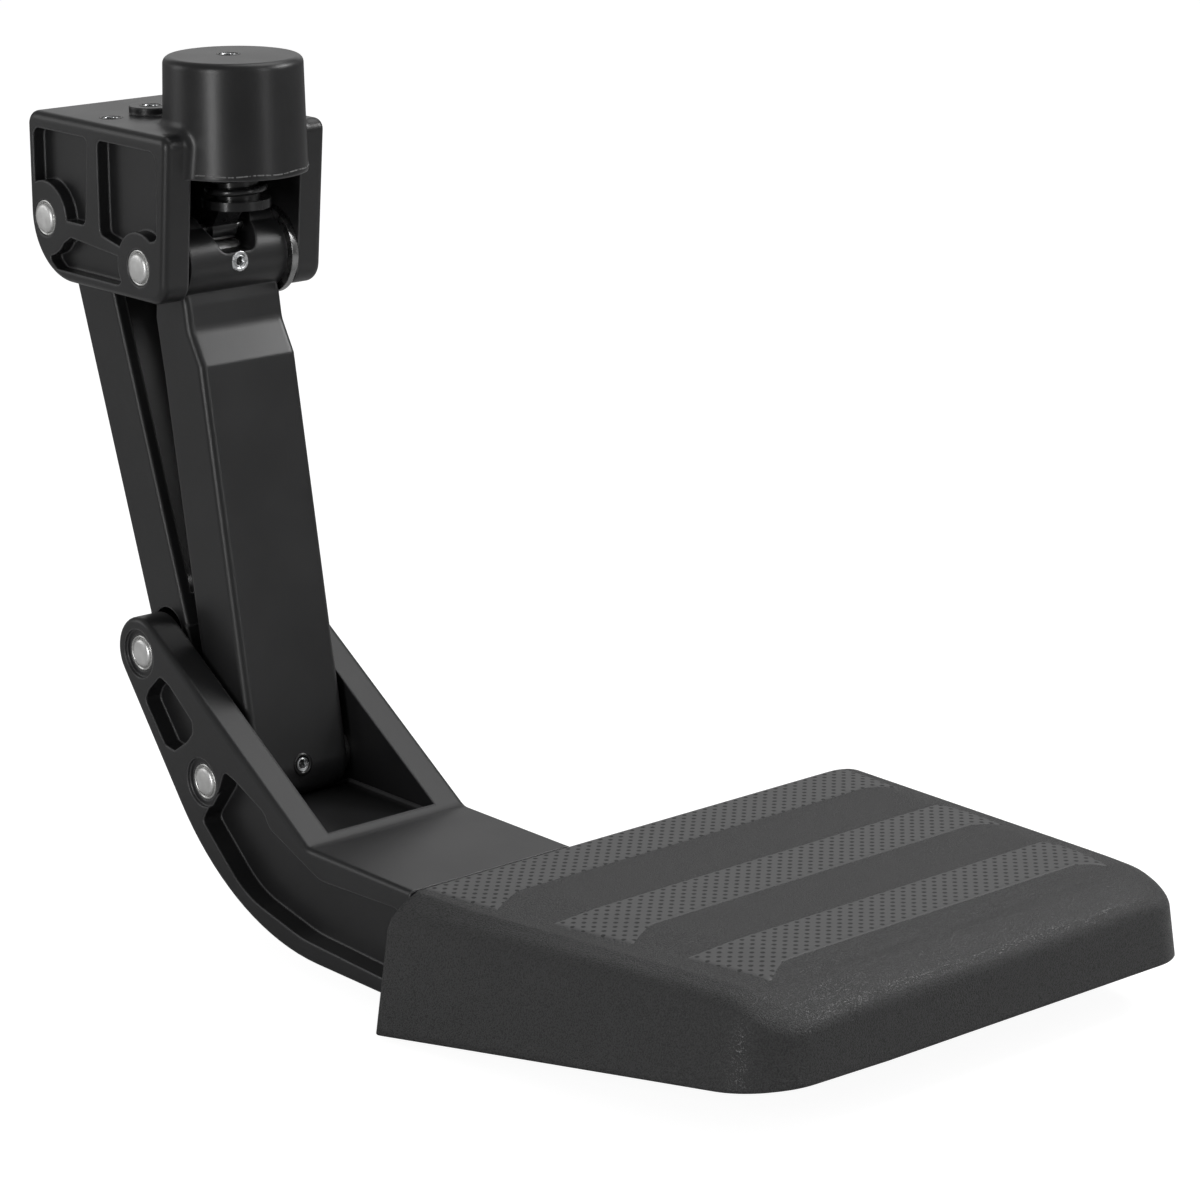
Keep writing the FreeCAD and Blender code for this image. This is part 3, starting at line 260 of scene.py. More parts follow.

# %% [markdown]
# ## Black powder coat
#
# The castings are sprayed with powder that melts into a satin skin. Up close it has
# a very fine orange peel. Every edge is slightly round and shows as a thin light
# line. The solid's edges are sharp, so a Bevel node bends the shading near them as a
# real radius would. Where that bend is strong the colour turns paler: partly a thinner,
# worn coat, and partly a painted edge highlight.

# %% Powder coat
def powder_coat(name, colour, pale_and_highlight, rough, edge):
    """Edge mask = how far the rounded normal leaves the straight one, by their dot product.
    Colour = the coat's tone, mixed with the pale one by the mask times broad clouds; the pale
    edges are partly a worn, thinner coat and partly a painted edge highlight."""
    coat = Finish(name, colour, rough)
    rounded = coat.rounded(edge, samples=6)
    straight = coat.node("ShaderNodeNewGeometry", output="True Normal")
    agree = coat.node("ShaderNodeVectorMath", {"operation": "DOT_PRODUCT"},
                      {0: rounded, 1: straight}, output="Value")
    # Painted edge highlight, partly also worn coat: the mask is 0 on flat faces and 1 where the
    # edge turns.
    edge_wear_and_highlight = coat.between(agree, 0.985, 0.78)
    clouds = coat.noise(22.0, 3.0)
    peel = coat.noise(1500.0, 2.0)
    tone = coat.blend(coat.between(clouds, 0.35, 0.7), colour, tinted(colour, 1.25))
    thin_coat_and_highlight = edge_wear_and_highlight * coat.between(clouds, 0.2, 0.6, 0.35, 0.8)
    coat.feed("Base Color", coat.blend(thin_coat_and_highlight, tone, pale_and_highlight))
    uneven = coat.between(clouds, 0.3, 0.75, rough - 0.02, rough + 0.02)
    coat.feed("Roughness", uneven + peel * 0.05)
    coat.feed("Normal", coat.relief(peel, 0.00006, 0.5, rounded))
    return coat.material


casting = powder_coat("black_powder_coat", colour=(0.0115, 0.0115, 0.012),
                      pale_and_highlight=(0.13, 0.13, 0.133), rough=0.32, edge=0.002)
print("coat:", casting.name)

# %% [markdown]
# ## Bright steel, zinc and gloss black
#
# The pins and bushes are turned on a lathe, so their end faces carry fine rings. A
# turned piece brings its own UV map, with the distance from the middle in v, and
# noise stretched along u draws rings. Washers are engineering solids without a UV
# map, and take a plain ground steel. The spring and its seat are painted gloss black.

# %% Metals
STEEL_EDGE = 0.0006


def turned_steel(name, colour, rough):
    """Rings = noise whose place is stretched 2 along the turn and 260 across it."""
    steel = Finish(name, colour, rough, 1.0)
    around = steel.node("ShaderNodeMapping", {},
                        {"Vector": steel.place("UV"), "Scale": (2.0, 260.0, 1.0)})
    rings = steel.noise(1.0, 2.0, around)
    clouds = steel.noise(220.0, 3.0)
    steel.feed("Base Color", steel.blend(clouds, tinted(colour, 0.8), colour))
    steel.feed("Roughness", steel.between(clouds, 0.3, 0.7, rough - 0.06, rough + 0.1))
    steel.feed("Normal", steel.relief(rings, 0.00003, 0.5))
    return steel.material


def ground_steel(name, colour, rough):
    """Colour and roughness follow clouds of about 6 mm; fine noise stands for scratches."""
    steel = Finish(name, colour, rough, 1.0)
    scratches = steel.noise(900.0, 2.0)
    clouds = steel.noise(160.0, 3.0)
    steel.feed("Base Color", steel.blend(clouds, tinted(colour, 0.7), colour))
    steel.feed("Roughness", steel.between(clouds, 0.3, 0.7, rough - 0.06, rough + 0.1))
    steel.feed("Normal", steel.relief(scratches, 0.00003, 0.4, steel.rounded(STEEL_EDGE)))
    return steel.material


def gloss_paint(name, colour, rough):
    """Smooth paint: an orange peel of 2.4 mm bends the normal, broad clouds vary the tone."""
    paint = Finish(name, colour, rough)
    peel = paint.noise(420.0, 2.0)
    clouds = paint.noise(60.0, 2.0)
    paint.feed("Base Color", paint.blend(clouds, tinted(colour, 0.7), colour))
    paint.feed("Roughness", paint.between(clouds, 0.3, 0.7, rough, rough + 0.08))
    paint.feed("Normal", paint.relief(peel, 0.00008, 0.4, paint.rounded(STEEL_EDGE)))
    return paint.material


pin_steel = turned_steel("turned_pin_steel", (0.86, 0.86, 0.85), 0.42)
bush_steel = turned_steel("turned_bush_steel", (0.62, 0.62, 0.61), 0.28)
zinc = turned_steel("zinc_plated_screw", (0.66, 0.67, 0.68), 0.26)
washer_steel = ground_steel("ground_washer_steel", (0.34, 0.34, 0.34), 0.26)
gloss = gloss_paint("gloss_black_paint", (0.012, 0.012, 0.0125), 0.2)
print("metals:", [metal.name for metal in (pin_steel, bush_steel, zinc, washer_steel, gloss)])

# %% [markdown]
# ## Finishes on the engineering nodes
#
# A node keeps its mesh and only gets a new material in its slots.

# %% Paint the engineering nodes
def dress(names, material):
    """Gives every named node one material in place of its own."""
    for name in names:
        mesh = nodes[name].data
        mesh.materials.clear()
        mesh.materials.append(material)
    print(material.name, "on", len(names), "nodes")


dress(["mounting_bracket", "front_arm", "rear_arm", "step_carrier"], casting)
dress([name for name in nodes if "washer" in name], washer_steel)
dress(["link_pin", "pad_screws"], washer_steel)
dress(["push_link", "spring_seat", "compression_spring"], gloss)

# %% [markdown]
# ## The tread pad's plastic
#
# The pad is moulded in one black plastic with two textures. The body has a leather
# grain about a millimetre across, which breaks up the light into a fine sparkle. The
# three tread strips are smoother and a shade lighter, with round dimples set in a
# square lattice that stands on its corner. Both textures are relief, so they also
# work when the light moves; on top of that, the grain's low places and the dimples are
# painted darker as shade. The lattice is counted in the pad's own plane.

# %% Pad plastic
def leather_grain(name, low, high, rough):
    """Fine grain: two noises added, cut to soft low places that roughen and dent, and are painted
    darker as shade.
    """
    plastic = Finish(name, high, rough)
    place = plastic.place()
    coarse = plastic.noise(1150.0, 2.0, place, 0.6)
    fine = plastic.noise(2600.0, 1.0, place)
    grain = coarse * 0.7 + fine * 0.3
    grain_relief_and_shade = plastic.between(grain, 0.40, 0.60)
    # Painted shade: the grain's low places take the darker colour.
    plastic.feed("Base Color", plastic.blend(grain_relief_and_shade, low, high))
    plastic.feed("Roughness", plastic.between(grain, 0.35, 0.65, rough + 0.08, rough - 0.08))
    plastic.feed("Normal", plastic.relief(grain_relief_and_shade, 0.00035, 0.6))
    return plastic.material


def dimple_lattice(name, low, high, rough, pitch):
    """Round dimples: x + y and x - y are counted in pitches, and the distance to the
    nearest middle is cut. The dimples dent, roughen and are painted dark as shade."""
    plastic = Finish(name, high, rough)
    place = plastic.place()
    fine = plastic.noise(1900.0, 1.0, place)
    across, along = plastic.parts(place)
    off_u = ((across + along) * (math.sqrt(0.5) / pitch)).fraction() - 0.5
    off_v = ((across - along) * (math.sqrt(0.5) / pitch)).fraction() - 0.5
    reach = (off_u * off_u + off_v * off_v).power(0.5)
    dimple_and_shade = plastic.between(reach, 0.30, 0.16)
    # Painted shade: the dimples take the darker colour.
    plastic.feed("Base Color", plastic.blend(dimple_and_shade, high, low))
    plastic.feed("Roughness", plastic.between(dimple_and_shade, 0.0, 1.0, rough, rough + 0.2))
    plastic.feed("Normal", plastic.relief(1 - dimple_and_shade + fine * 0.1, 0.0004, 0.5))
    return plastic.material


# low: the painted shade in the grain's low places and in the dimples.
pad_body = leather_grain("moulded_pad_grain", low=(0.012, 0.012, 0.0123),
                         high=(0.036, 0.036, 0.0365), rough=0.42)
pad_strip = dimple_lattice("moulded_pad_strip", low=(0.013, 0.013, 0.0132),
                           high=(0.072, 0.072, 0.0725), rough=0.44, pitch=0.00528)
print("plastics:", pad_body.name, "and", pad_strip.name)

# %% [markdown]
# ## The tread pad
#
# The real pad is a cover with soft edges: a big round shoulder at its left rear, a
# tighter one elsewhere, a front band that falls away, and sides that lean out to a
# thin rim. It could be sculpted from a cube. Here it is a stack of closed curves
# round the pad. Each curve is a four-sided outline with round corners, and all have
# the same number of points, so curve after curve joins up to a skin. The height of
# the top is one function of the place, so the skin and the strips can share it.

# %% Curves round the pad
PAD_TOP = -287.3
REAR_EDGE = -226.5
PAD_DEPTH = 233.0
FRONT_BEND, FRONT_FALL = -432.0, 0.46
LEFT_CREASE, LEFT_LEAN, LEFT_FALL = -16.0, 0.24, 0.05
RIGHT_CREASE, RIGHT_LEAN, RIGHT_FALL = 247.0, 0.02, 0.16
CREASE_ROUND = 3.0
VALLEY_LINE, VALLEY_WIDTH, VALLEY_DEPTH = -435.5, 3.2, 0.8
RIM_DROP, RIM_RISE = 72.0, 26.5


def soft_ramp(distance, radius):
    """Zero before the bend and the distance after it, rounded:
    half of (d + root of d squared plus r squared)."""
    distance = np.asarray(distance, float)
    return (distance + np.sqrt(distance ** 2 + radius ** 2)) / 2


def pad_height(x, y):
    """Height of the top: level in the middle, falling ahead of the front bend, beside a
    slanted left crease and beside a right crease, less a shallow valley at the bend."""
    behind = REAR_EDGE - y
    ahead = soft_ramp(FRONT_BEND - y, 5.0)
    left = soft_ramp(LEFT_CREASE + LEFT_LEAN * behind - x, CREASE_ROUND)
    left = left * np.clip(behind / 36.0, 0, 1)
    right = soft_ramp(x - RIGHT_CREASE + RIGHT_LEAN * behind, CREASE_ROUND)
    valley = np.exp(-((y - VALLEY_LINE) / VALLEY_WIDTH) ** 2)
    valley = valley * np.clip((x + 5) / 30, 0, 1) * np.clip((248 - x) / 30, 0, 1)
    falls = FRONT_FALL * ahead + LEFT_FALL * left + RIGHT_FALL * right
    return PAD_TOP - falls - VALLEY_DEPTH * valley


def rim_height(x, y):
    """Height of the lower rim: 72 mm under the top at the rear, 45.5 mm at the front,
    a millimetre higher on the left and up to 2.2 mm lower at the right front."""
    ahead = (REAR_EDGE - y) / PAD_DEPTH
    left = np.interp(x, [-20, 50], [1.0, 0.0])
    right = ahead * np.interp(x, [-20, 50, 250], [0.0, 0.9, 2.2])
    return PAD_TOP - RIM_DROP + RIM_RISE * ahead + left - right


def round_loop(corners, radii, run=70, turn=18):
    """Closed outline: each corner is an arc of its own radius, each side a straight run.
    The same counts are used for every outline, so outlines match point for point."""
    corners = np.asarray(corners, float)
    entries, exits, arcs = [], [], []
    for index, corner in enumerate(corners):
        back = corners[index - 1] - corner
        ahead = corners[(index + 1) % 4] - corner
        back, ahead = back / np.linalg.norm(back), ahead / np.linalg.norm(ahead)
        half = math.acos(np.clip(back @ ahead, -1, 1)) / 2
        inward = (back + ahead) / np.linalg.norm(back + ahead)
        middle = corner + inward * radii[index] / math.sin(half)
        start = corner + back * radii[index] / math.tan(half) - middle
        end = corner + ahead * radii[index] / math.tan(half) - middle
        angle = math.acos(np.clip(start @ end / (start @ start), -1, 1))
        part = np.linspace(0, 1, turn)[:, None]
        arc = np.sin((1 - part) * angle) * start + np.sin(part * angle) * end
        arc = arc / math.sin(angle) + middle
        entries.append(arc[0])
        exits.append(arc[-1])
        arcs.append(arc)
    pieces = []
    for index in range(4):
        pieces.append(arcs[index])
        step = np.linspace(0, 1, run + 2)[1:-1, None]
        pieces.append(exits[index] * (1 - step) + entries[(index + 1) % 4] * step)
    return np.concatenate(pieces)


top_loop = round_loop([(-51, -227.5), (260, -227.5), (259, -456.5), (-6, -456.5)],
                      [1.5, 5, 20, 26])
shoulder_loop = round_loop([(-69, -226.5), (267.5, -226.5), (271.5, -462), (-17, -462)],
                           [2, 7, 22, 32])
rim_loop = round_loop([(-79, -226.5), (278.5, -226.5), (275, -466.5), (-31, -466.5)],
                      [3, 10, 27, 38])
print("stations round the pad:", len(top_loop))


# %% [markdown]
# ### Skin from the middle to the rim
#
# From the middle line outwards the skin is the top. A narrow facet leads to a curve
# that turns it over the shoulder. A curve with three guide points does this: it
# starts along the facet and ends along the side. A straight run goes down to the
# rim, and a small bead gives the wall its thickness before the skin comes back up
# inside.

# %% Pad skin
BEAD = 0.8
PAD_WALL = 4.0
FACET_SHARE, SIDE_SHARE = 0.45, 0.14


def rows_between(first, last, count):
    """Straight rows from one curve to the next: first plus its share of the way to last."""
    share = np.linspace(0, 1, count + 1)[1:, None, None]
    return first + (last - first) * share


def knee_drop():
    """Fall from the top's edge to the shoulder: 10 mm at the left rear, least along the
    straight rear edge, and 4 to 6 mm along the other sides."""
    x, y = shoulder_loop.T
    left = np.interp(-y, [226, 262, 330, 430, 462], [10.0, 7.5, 4.2, 3.6, 4.4])
    right = np.interp(x, [240, 268], [5.0, 6.0])
    rear = np.interp(x, [-69, -51, 246, 267.5], [10.0, 1.5, 1.5, 5.0])
    return np.where(y > REAR_EDGE - 0.4, rear, np.where(x < 40, left, right))


def pad_skin():
    """Rows of points: top, facet, turned shoulder (a parabola through its three guide
    points), flank, bead and the inside of the wall."""
    spine = np.column_stack([np.clip(top_loop[:, 0], 55, 135), np.full(len(top_loop), -340.0)])
    flat = spine + (top_loop - spine) * np.linspace(0, 1, 60)[:, None, None]
    top = np.dstack([flat, pad_height(flat[..., 0], flat[..., 1])])
    top_edge = top[-1]
    knee = np.column_stack([shoulder_loop, top_edge[:, 2] - knee_drop()])
    rim = np.column_stack([rim_loop, rim_height(*rim_loop.T) + BEAD])
    facet_end = top_edge + (knee - top_edge) * FACET_SHARE
    side_start = knee + (rim - knee) * SIDE_SHARE
    share = np.linspace(0, 1, 11)[1:, None, None]
    turned = facet_end * (1 - share) ** 2 + knee * 2 * share * (1 - share) + side_start * share ** 2
    flank = rows_between(side_start, rim, 15)
    inward = np.array([100.0, -340.0]) - rim_loop
    inward = inward / np.linalg.norm(inward, axis=1)[:, None]
    inward = np.column_stack([inward, np.zeros(len(rim_loop))])
    bead = [flank[-1] + inward * inset + np.array([0, 0, rise])
            for inset, rise in ((0.4, -0.5), (1.3, -BEAD), (2.7, -0.6), (3.6, 0.3))]
    inside = [flank[row] + inward * PAD_WALL for row in (-3, -6, -9)]
    facet = rows_between(top_edge, facet_end, 3)
    return np.concatenate([top, facet, turned, flank, np.array(bead), np.array(inside)])


pad = surface("moulded_pad", to_scene(pad_skin()), "step", pad_body,
              closed_columns=True, flip=True)
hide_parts("step_pad")
print("pad faces:", len(pad.data.polygons))

# %% [markdown]
# ### Tread strips
#
# Each strip is a band about 36 mm deep that runs from side to side, and both of its
# ends reach a little further forward. It stands 0.4 mm proud with a soft edge, and
# it bends with the pad, because its height is added to the pad's own function.

# %% Strips
STRIP_PITCH = 78.4
STRIP_LEFT, STRIP_RIGHT = -46.0, 254.5
STRIP_RISE, STRIP_SUNK, STRIP_EDGE = 0.55, 0.15, 2.2


def edged_steps(close, inner, count):
    """0 to 1, with six close steps at each end and even ones from inner to 1 - inner."""
    return np.concatenate([np.linspace(0, close, 6), np.linspace(inner, 1 - inner, count),
                           np.linspace(1 - close, 1, 6)])


def tread_strip(number):
    """u runs along the strip, v from its rear to its front edge.
    x = mix of the left and right end lines, y = rear line less v times the depth, and the
    depth grows in a hook at both ends."""
    rear = REAR_EDGE - 0.6 - STRIP_PITCH * number
    u = edged_steps(0.012, 0.02, 150)[:, None]
    v = edged_steps(0.05, 0.09, 24)[None, :]
    left_hook = 12.0 * np.clip(1 - u / 0.095, 0, 1) ** 1.2
    right_hook = 11.0 * np.clip(1 - (1 - u) / 0.065, 0, 1) ** 1.7
    depth = (34.0 if number == 0 else 36.5) + left_hook + right_hook
    y = rear - depth * v
    left = STRIP_LEFT + LEFT_LEAN * (REAR_EDGE - y)
    right = STRIP_RIGHT - RIGHT_LEAN * (REAR_EDGE - y)
    right = right - (6.0 if number == 2 else 1.0) * v ** 2 - (6.0 if number else 1.0) * (1 - v) ** 6
    length = right - left
    x = left + length * u
    edge = np.minimum.reduce([u * length, (1 - u) * length, v * depth, (1 - v) * depth])
    rise = STRIP_RISE * np.clip(edge / STRIP_EDGE, 0, 1) ** 0.7 - STRIP_SUNK
    return np.stack(np.broadcast_arrays(x, y, pad_height(x, y) + rise), axis=-1)


for number in range(3):
    strip = surface(f"tread_strip_{number + 1}", to_scene(tread_strip(number)), "step",
                    pad_strip, flip=True)
    print(strip.name, "faces:", len(strip.data.polygons))

# %% [markdown]
# ## Floor of the arm's pocket
#
# The lower casting has a pocket for the arm's foot. Its floor is level, a few
# millimetres below the casting's top, and dips under the foot in an arc round the
# pivot. It could be a box with a bevel. A profile carried across the pocket gives
# the arc and the hollow corners in one piece.

# %% Pocket floor
POCKET_HALF = 36.05
POCKET_FRONT = -134.8
POCKET_LEVEL = -291.0
POCKET_ROUND = 3.2
FLOOR_THICKNESS = 4.0
FOOT_ARC = 21.0


def hollow(distance):
    """Height of a hollow round past its start: r less root of (r squared less d squared)."""
    distance = np.clip(distance, 0, POCKET_ROUND)
    return POCKET_ROUND - np.sqrt(POCKET_ROUND ** 2 - distance ** 2)


def pocket_floor():
    """Height = the level line or the arc round the foot's pivot, whichever is lower, plus
    a hollow round at both walls and at the front. Behind the pivot it stays at the
    arc's lowest point."""
    y = np.concatenate([np.linspace(POCKET_FRONT, -130, 8), np.linspace(-125, -61, 12),
                        np.linspace(-60, -28, 20)])
    wall_x = np.append(np.linspace(32.9, POCKET_HALF - 0.1, 8), POCKET_HALF - 0.05)
    x = np.concatenate([-wall_x[::-1], np.linspace(-30, 30, 12), wall_x])
    foot_y, foot_z = PIVOTS["front_lower"]
    arc = foot_z - np.sqrt(np.clip(FOOT_ARC ** 2 - (y - foot_y) ** 2, 0, None))
    level = np.minimum(np.where(y < foot_y, arc, foot_z - FOOT_ARC), POCKET_LEVEL)
    front = hollow(POCKET_FRONT + POCKET_ROUND - y)
    side = hollow(np.abs(x) + POCKET_ROUND + 0.1 - POCKET_HALF)
    upper = level[:, None] + np.maximum(front[:, None], side[None, :])
    thickness = np.full_like(upper, FLOOR_THICKNESS)
    thickness[:, [0, -1]] = 0.0
    grid_x, grid_y = np.broadcast_arrays(x[None, :], y[:, None])
    sheet = np.stack([grid_x, grid_y, upper], axis=-1)
    under = np.stack([grid_x, grid_y, upper - thickness], axis=-1)
    return np.concatenate([sheet, under[::-1]])


floor_piece = surface("arm_pocket_floor", to_scene(pocket_floor()), "step", casting,
                      closed_rows=True, solid=True)
print("pocket floor faces:", len(floor_piece.data.polygons))

# %% [markdown]
# ## Turned pieces
#
# Pins, bushes and screws come off a lathe, so each is a profile spun round the axis.
# A profile is a list of (distance along, radius). Blender has a Screw modifier for
# this, but with arrays the whole piece is one outer product. Short steps at the
# corners keep the chamfers crisp.

# %% Lathe
def lathe(name, profile, start, axis, body, material, closed=False, around=64,
          radius_by_angle=None):
    """Spins a profile: point = start + axis * along + radius * (side cos a + up sin a)."""
    profile = np.asarray(profile, float)
    axis = np.asarray(axis, float) / np.linalg.norm(axis)
    helper = np.array([0.0, 0.0, 1.0]) if abs(axis[2]) < 0.9 else np.array([1.0, 0.0, 0.0])
    side = np.cross(axis, helper)
    side = side / np.linalg.norm(side)
    up = np.cross(axis, side)
    angle = np.linspace(0, 2 * math.pi, around, endpoint=False)
    radius = np.repeat(profile[:, 1][:, None], around, axis=1)
    if radius_by_angle is not None:
        radius = radius_by_angle(angle, radius)
    outwards = side * np.cos(angle)[None, :, None] + up * np.sin(angle)[None, :, None]
    points = (np.asarray(start, float) + axis * profile[:, 0][:, None, None]
              + radius[..., None] * outwards)
    run = np.concatenate([[0], np.cumsum(np.hypot(*np.diff(profile, axis=0).T))]) / 40.0
    uv = np.stack(np.broadcast_arrays(angle[None, :] / (2 * math.pi), run[:, None]), axis=-1)
    return surface(name, to_scene(points), body, material, closed_rows=closed,
                   closed_columns=True, uv=uv, solid=True)


# %% [markdown]
# ### Pins and bushes
#
# A pin has a slightly domed end and a broken edge. Its bush is a thin ring with a
# rounded lip, and a dark gap shows between the two.

# %% Pins and bushes
BUSH_START = 36.0
BUSH_RADIUS = 10.0
BUSH_BORE = 8.06


def pin(name, half, y, z, body):
    """The profile is one end's list of (along, radius), mirrored for the other end."""
    end = [(half + 0.3, 0.0), (half + 0.28, 3.0), (half + 0.15, 5.6), (half, 6.6),
           (half - 0.5, 7.5), (half - 1.2, 8.0)]
    profile = [(-along, radius) for along, radius in end] + end[::-1]
    item = lathe(name + "_turned", profile, (0, y, z), (1, 0, 0), body, pin_steel)
    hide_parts(name)


def bush(name, side, end, y, z, body):
    """Ring from the start of the bush to its lip at the end; side is -1 left, 1 right."""
    ring = [(BUSH_START, BUSH_BORE), (end - 0.96, BUSH_BORE), (end - 0.6, 8.2), (end, 8.8),
            (end, 9.4), (end - 0.3, 9.85), (end - 0.72, BUSH_RADIUS), (BUSH_START, BUSH_RADIUS)]
    profile = [(side * along, radius) for along, radius in ring]
    item = lathe(name + "_turned", profile, (0, y, z), (1, 0, 0), body, bush_steel,
                 closed=True)
    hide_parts(name)


# Pivot, the pin's body, the bushes' body, half the pin's length, end of the bushes.
PINS = [("front_upper", "front_arm", "bracket", 53.2, 51.8),
        ("rear_upper", "rear_arm", "bracket", 53.2, 51.8),
        ("front_lower", "front_arm", "step", 53.0, 52.2),
        ("rear_lower", "step", "step", 53.0, 52.2)]
for where, pin_body, bush_body, half, bush_end in PINS:
    pin(f"{where}_pin", half, *PIVOTS[where], pin_body)
    for word, side in (("left", -1), ("right", 1)):
        bush(f"{where}_bush_{word}", side, bush_end, *PIVOTS[where], bush_body)
print("pins:", len(PINS), "bushes:", 2 * len(PINS))

# %% [markdown]
# ### Socket screws
#
# A set screw is a threaded stub with a hexagon socket. The socket's wall has a
# radius that depends on the angle, which is what makes a hexagon out of a circle.

# %% Socket screws
SOCKET_FLATS = 4.6
SOCKET_ROWS = (12, 13)
FRONT_FACE = (-0.98528, 0.17087)


def hexagon(angle, flats):
    """Distance from the middle to a hexagon's side: half the flats over cos of the angle
    past the nearest face."""
    sector = (angle + math.pi / 6) % (math.pi / 3) - math.pi / 6
    return flats / 2 / np.cos(sector)


def with_socket(angle, radius):
    """The two rows of the socket's wall take the hexagon's distance as their radius."""
    for row in SOCKET_ROWS:
        radius[row] = hexagon(angle, SOCKET_FLATS)
    return radius


def socket_screw(name, pivot, out, reach, collar, body):
    """Stub with a collar and a hexagon socket; a gloss black cup at 1.6 mm depth is painted
    shade in the socket. out is the screw's direction (y, z) from the pivot, reach the distance of
    its face."""
    start, axis = (0, *PIVOTS[pivot]), (0, *out)
    profile = [(8.1, 0.0), (8.1, 3.0), (9.0, 3.9), (reach - 1.5, 3.9), (reach - 1.3, collar),
               (reach - 0.3, collar), (reach, collar - 0.5), (reach - 0.05, 3.9),
               (reach - 0.5, 3.6), (reach - 0.5, 3.3), (reach, 3.1), (reach, 2.7),
               (reach - 0.3, 2.2), (reach - 2.6, 2.2), (reach - 2.6, 0.0)]
    item = lathe(name + "_turned", profile, start, axis, body, zinc, around=72,
                 radius_by_angle=with_socket)
    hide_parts(name)
    # Painted shade: a black cup fills the socket where its bottom lies in shade.
    socket_shade_cup = [(reach - 1.9, 0.0), (reach - 1.9, 2.25), (reach - 1.6, 2.25), (reach - 1.6, 0.0)]
    lathe(name + "_socket", socket_shade_cup, start, axis, body, gloss, around=24)


socket_screw("front_upper_set_screw", "front_upper", (-1.0, 0.0), 20.1, 5.6, "front_arm")
socket_screw("front_lower_set_screw", "front_lower", FRONT_FACE, 18.9, 3.9, "front_arm")
recess = [(18.2, 4.0), (19.06, 4.0), (19.12, 6.2), (18.2, 6.2)]
lathe("front_lower_screw_recess", recess, (0, *PIVOTS["front_lower"]), (0, *FRONT_FACE),
      "front_arm", gloss, closed=True)
socket_screw("rear_upper_set_screw", "rear_upper", (0.9457, -0.3250), 19.9, 3.9, "rear_arm")
print("set screws: 3")

# %% [markdown]
# ### Threaded holes
#
# The three tapped holes of the bracket have bare threads that catch the light. Each
# gets a thin sleeve whose radius rises and falls with the depth, as a thread's
# section does, and a dark countersunk mouth round it.

# %% Threaded sleeves
PLATE_TOP = 72.5
THREAD_PITCH = 1.5
SLEEVE_RADIUS = 4.24


def thread_sleeve(name, x, y, z, depth):
    """Radius = 3.85 to 4.15 by a triangle wave of the depth; a flat dark ring lies round
    the sleeve, out to 6.5."""
    steps = np.linspace(0.6, depth, 45)
    wave = np.abs((steps / THREAD_PITCH) % 1.0 - 0.5) * 2
    inner = [(-along, 3.85 + 0.3 * turn) for along, turn in zip(steps, wave)][::-1]
    profile = inner + [(-0.1, 4.15), (0.0, SLEEVE_RADIUS), (-1.0, SLEEVE_RADIUS),
                       (-depth, SLEEVE_RADIUS)]
    lathe(name, profile, (x, y, z), (0, 0, 1), "bracket", zinc, closed=True, around=48)
    mouth = [(-0.1, SLEEVE_RADIUS), (0.02, 4.26), (0.09, 6.2), (0.07, 6.45), (-0.1, 6.5)]
    lathe(name + "_mouth", mouth, (x, y, z), (0, 0, 1), "bracket", gloss,
          closed=True, around=48)


thread_sleeve("spring_housing_thread", *(-SHIFT), 14.0)
thread_sleeve("plate_thread_left", -34.0, 47.0, PLATE_TOP, 12.0)
thread_sleeve("plate_thread_middle", -8.0, 47.0, PLATE_TOP + 4.0, 12.0)
print("threaded sleeves: 3")

# %% [markdown]
# ### Casting seam on the spring housing
#
# Where the two halves of the mould met, the casting keeps a thin ragged line just
# above the housing's lower rim. It is a thin band whose reach follows a few sine
# waves of the angle, so that it looks broken and filed.

# %% Casting seam
HOUSING_Y = -18.0
# The seam's pale colour goes on its edges the same way: partly worn, partly a painted edge
# highlight.
filed_coat = powder_coat("filed_seam_coat", colour=(0.13, 0.13, 0.13),
                         pale_and_highlight=(0.34, 0.34, 0.34), rough=0.5, edge=0.0004)


def casting_seam(rim_radius, height):
    """Band round the housing's front: reach = 0.42 mm plus 0.16 times a sum of three sine
    waves of the angle, and the height wanders by 0.3 mm."""
    angle = np.linspace(-2.9, -0.25, 260)
    ragged = np.sin(23 * angle) + np.sin(61 * angle + 1.0) + np.sin(107 * angle + 2.0)
    reach = 0.42 + 0.16 * ragged
    section = np.linspace(0, math.pi, 7)[:, None]
    radius = rim_radius - 0.25 + reach[None, :] * np.sin(section)
    level = height + 0.45 * np.cos(section) + 0.3 * np.sin(9 * angle)[None, :]
    return np.stack([radius * np.cos(angle), radius * np.sin(angle) + HOUSING_Y, level], axis=-1)


seam = surface("housing_seam", to_scene(casting_seam(rim_radius=38.45, height=51.6)), "bracket",
               filed_coat)
print("seam faces:", len(seam.data.polygons))

# %% [markdown]
# ### Spring
#
# The coil is a round wire swept along a helix. Its first and last turns lie flat, so
# the rise per turn is small there and larger between. Curve objects can do this, but
# a grid of rings along the path gives the same tube directly.

# %% Spring
STEPS_PER_TURN = 40


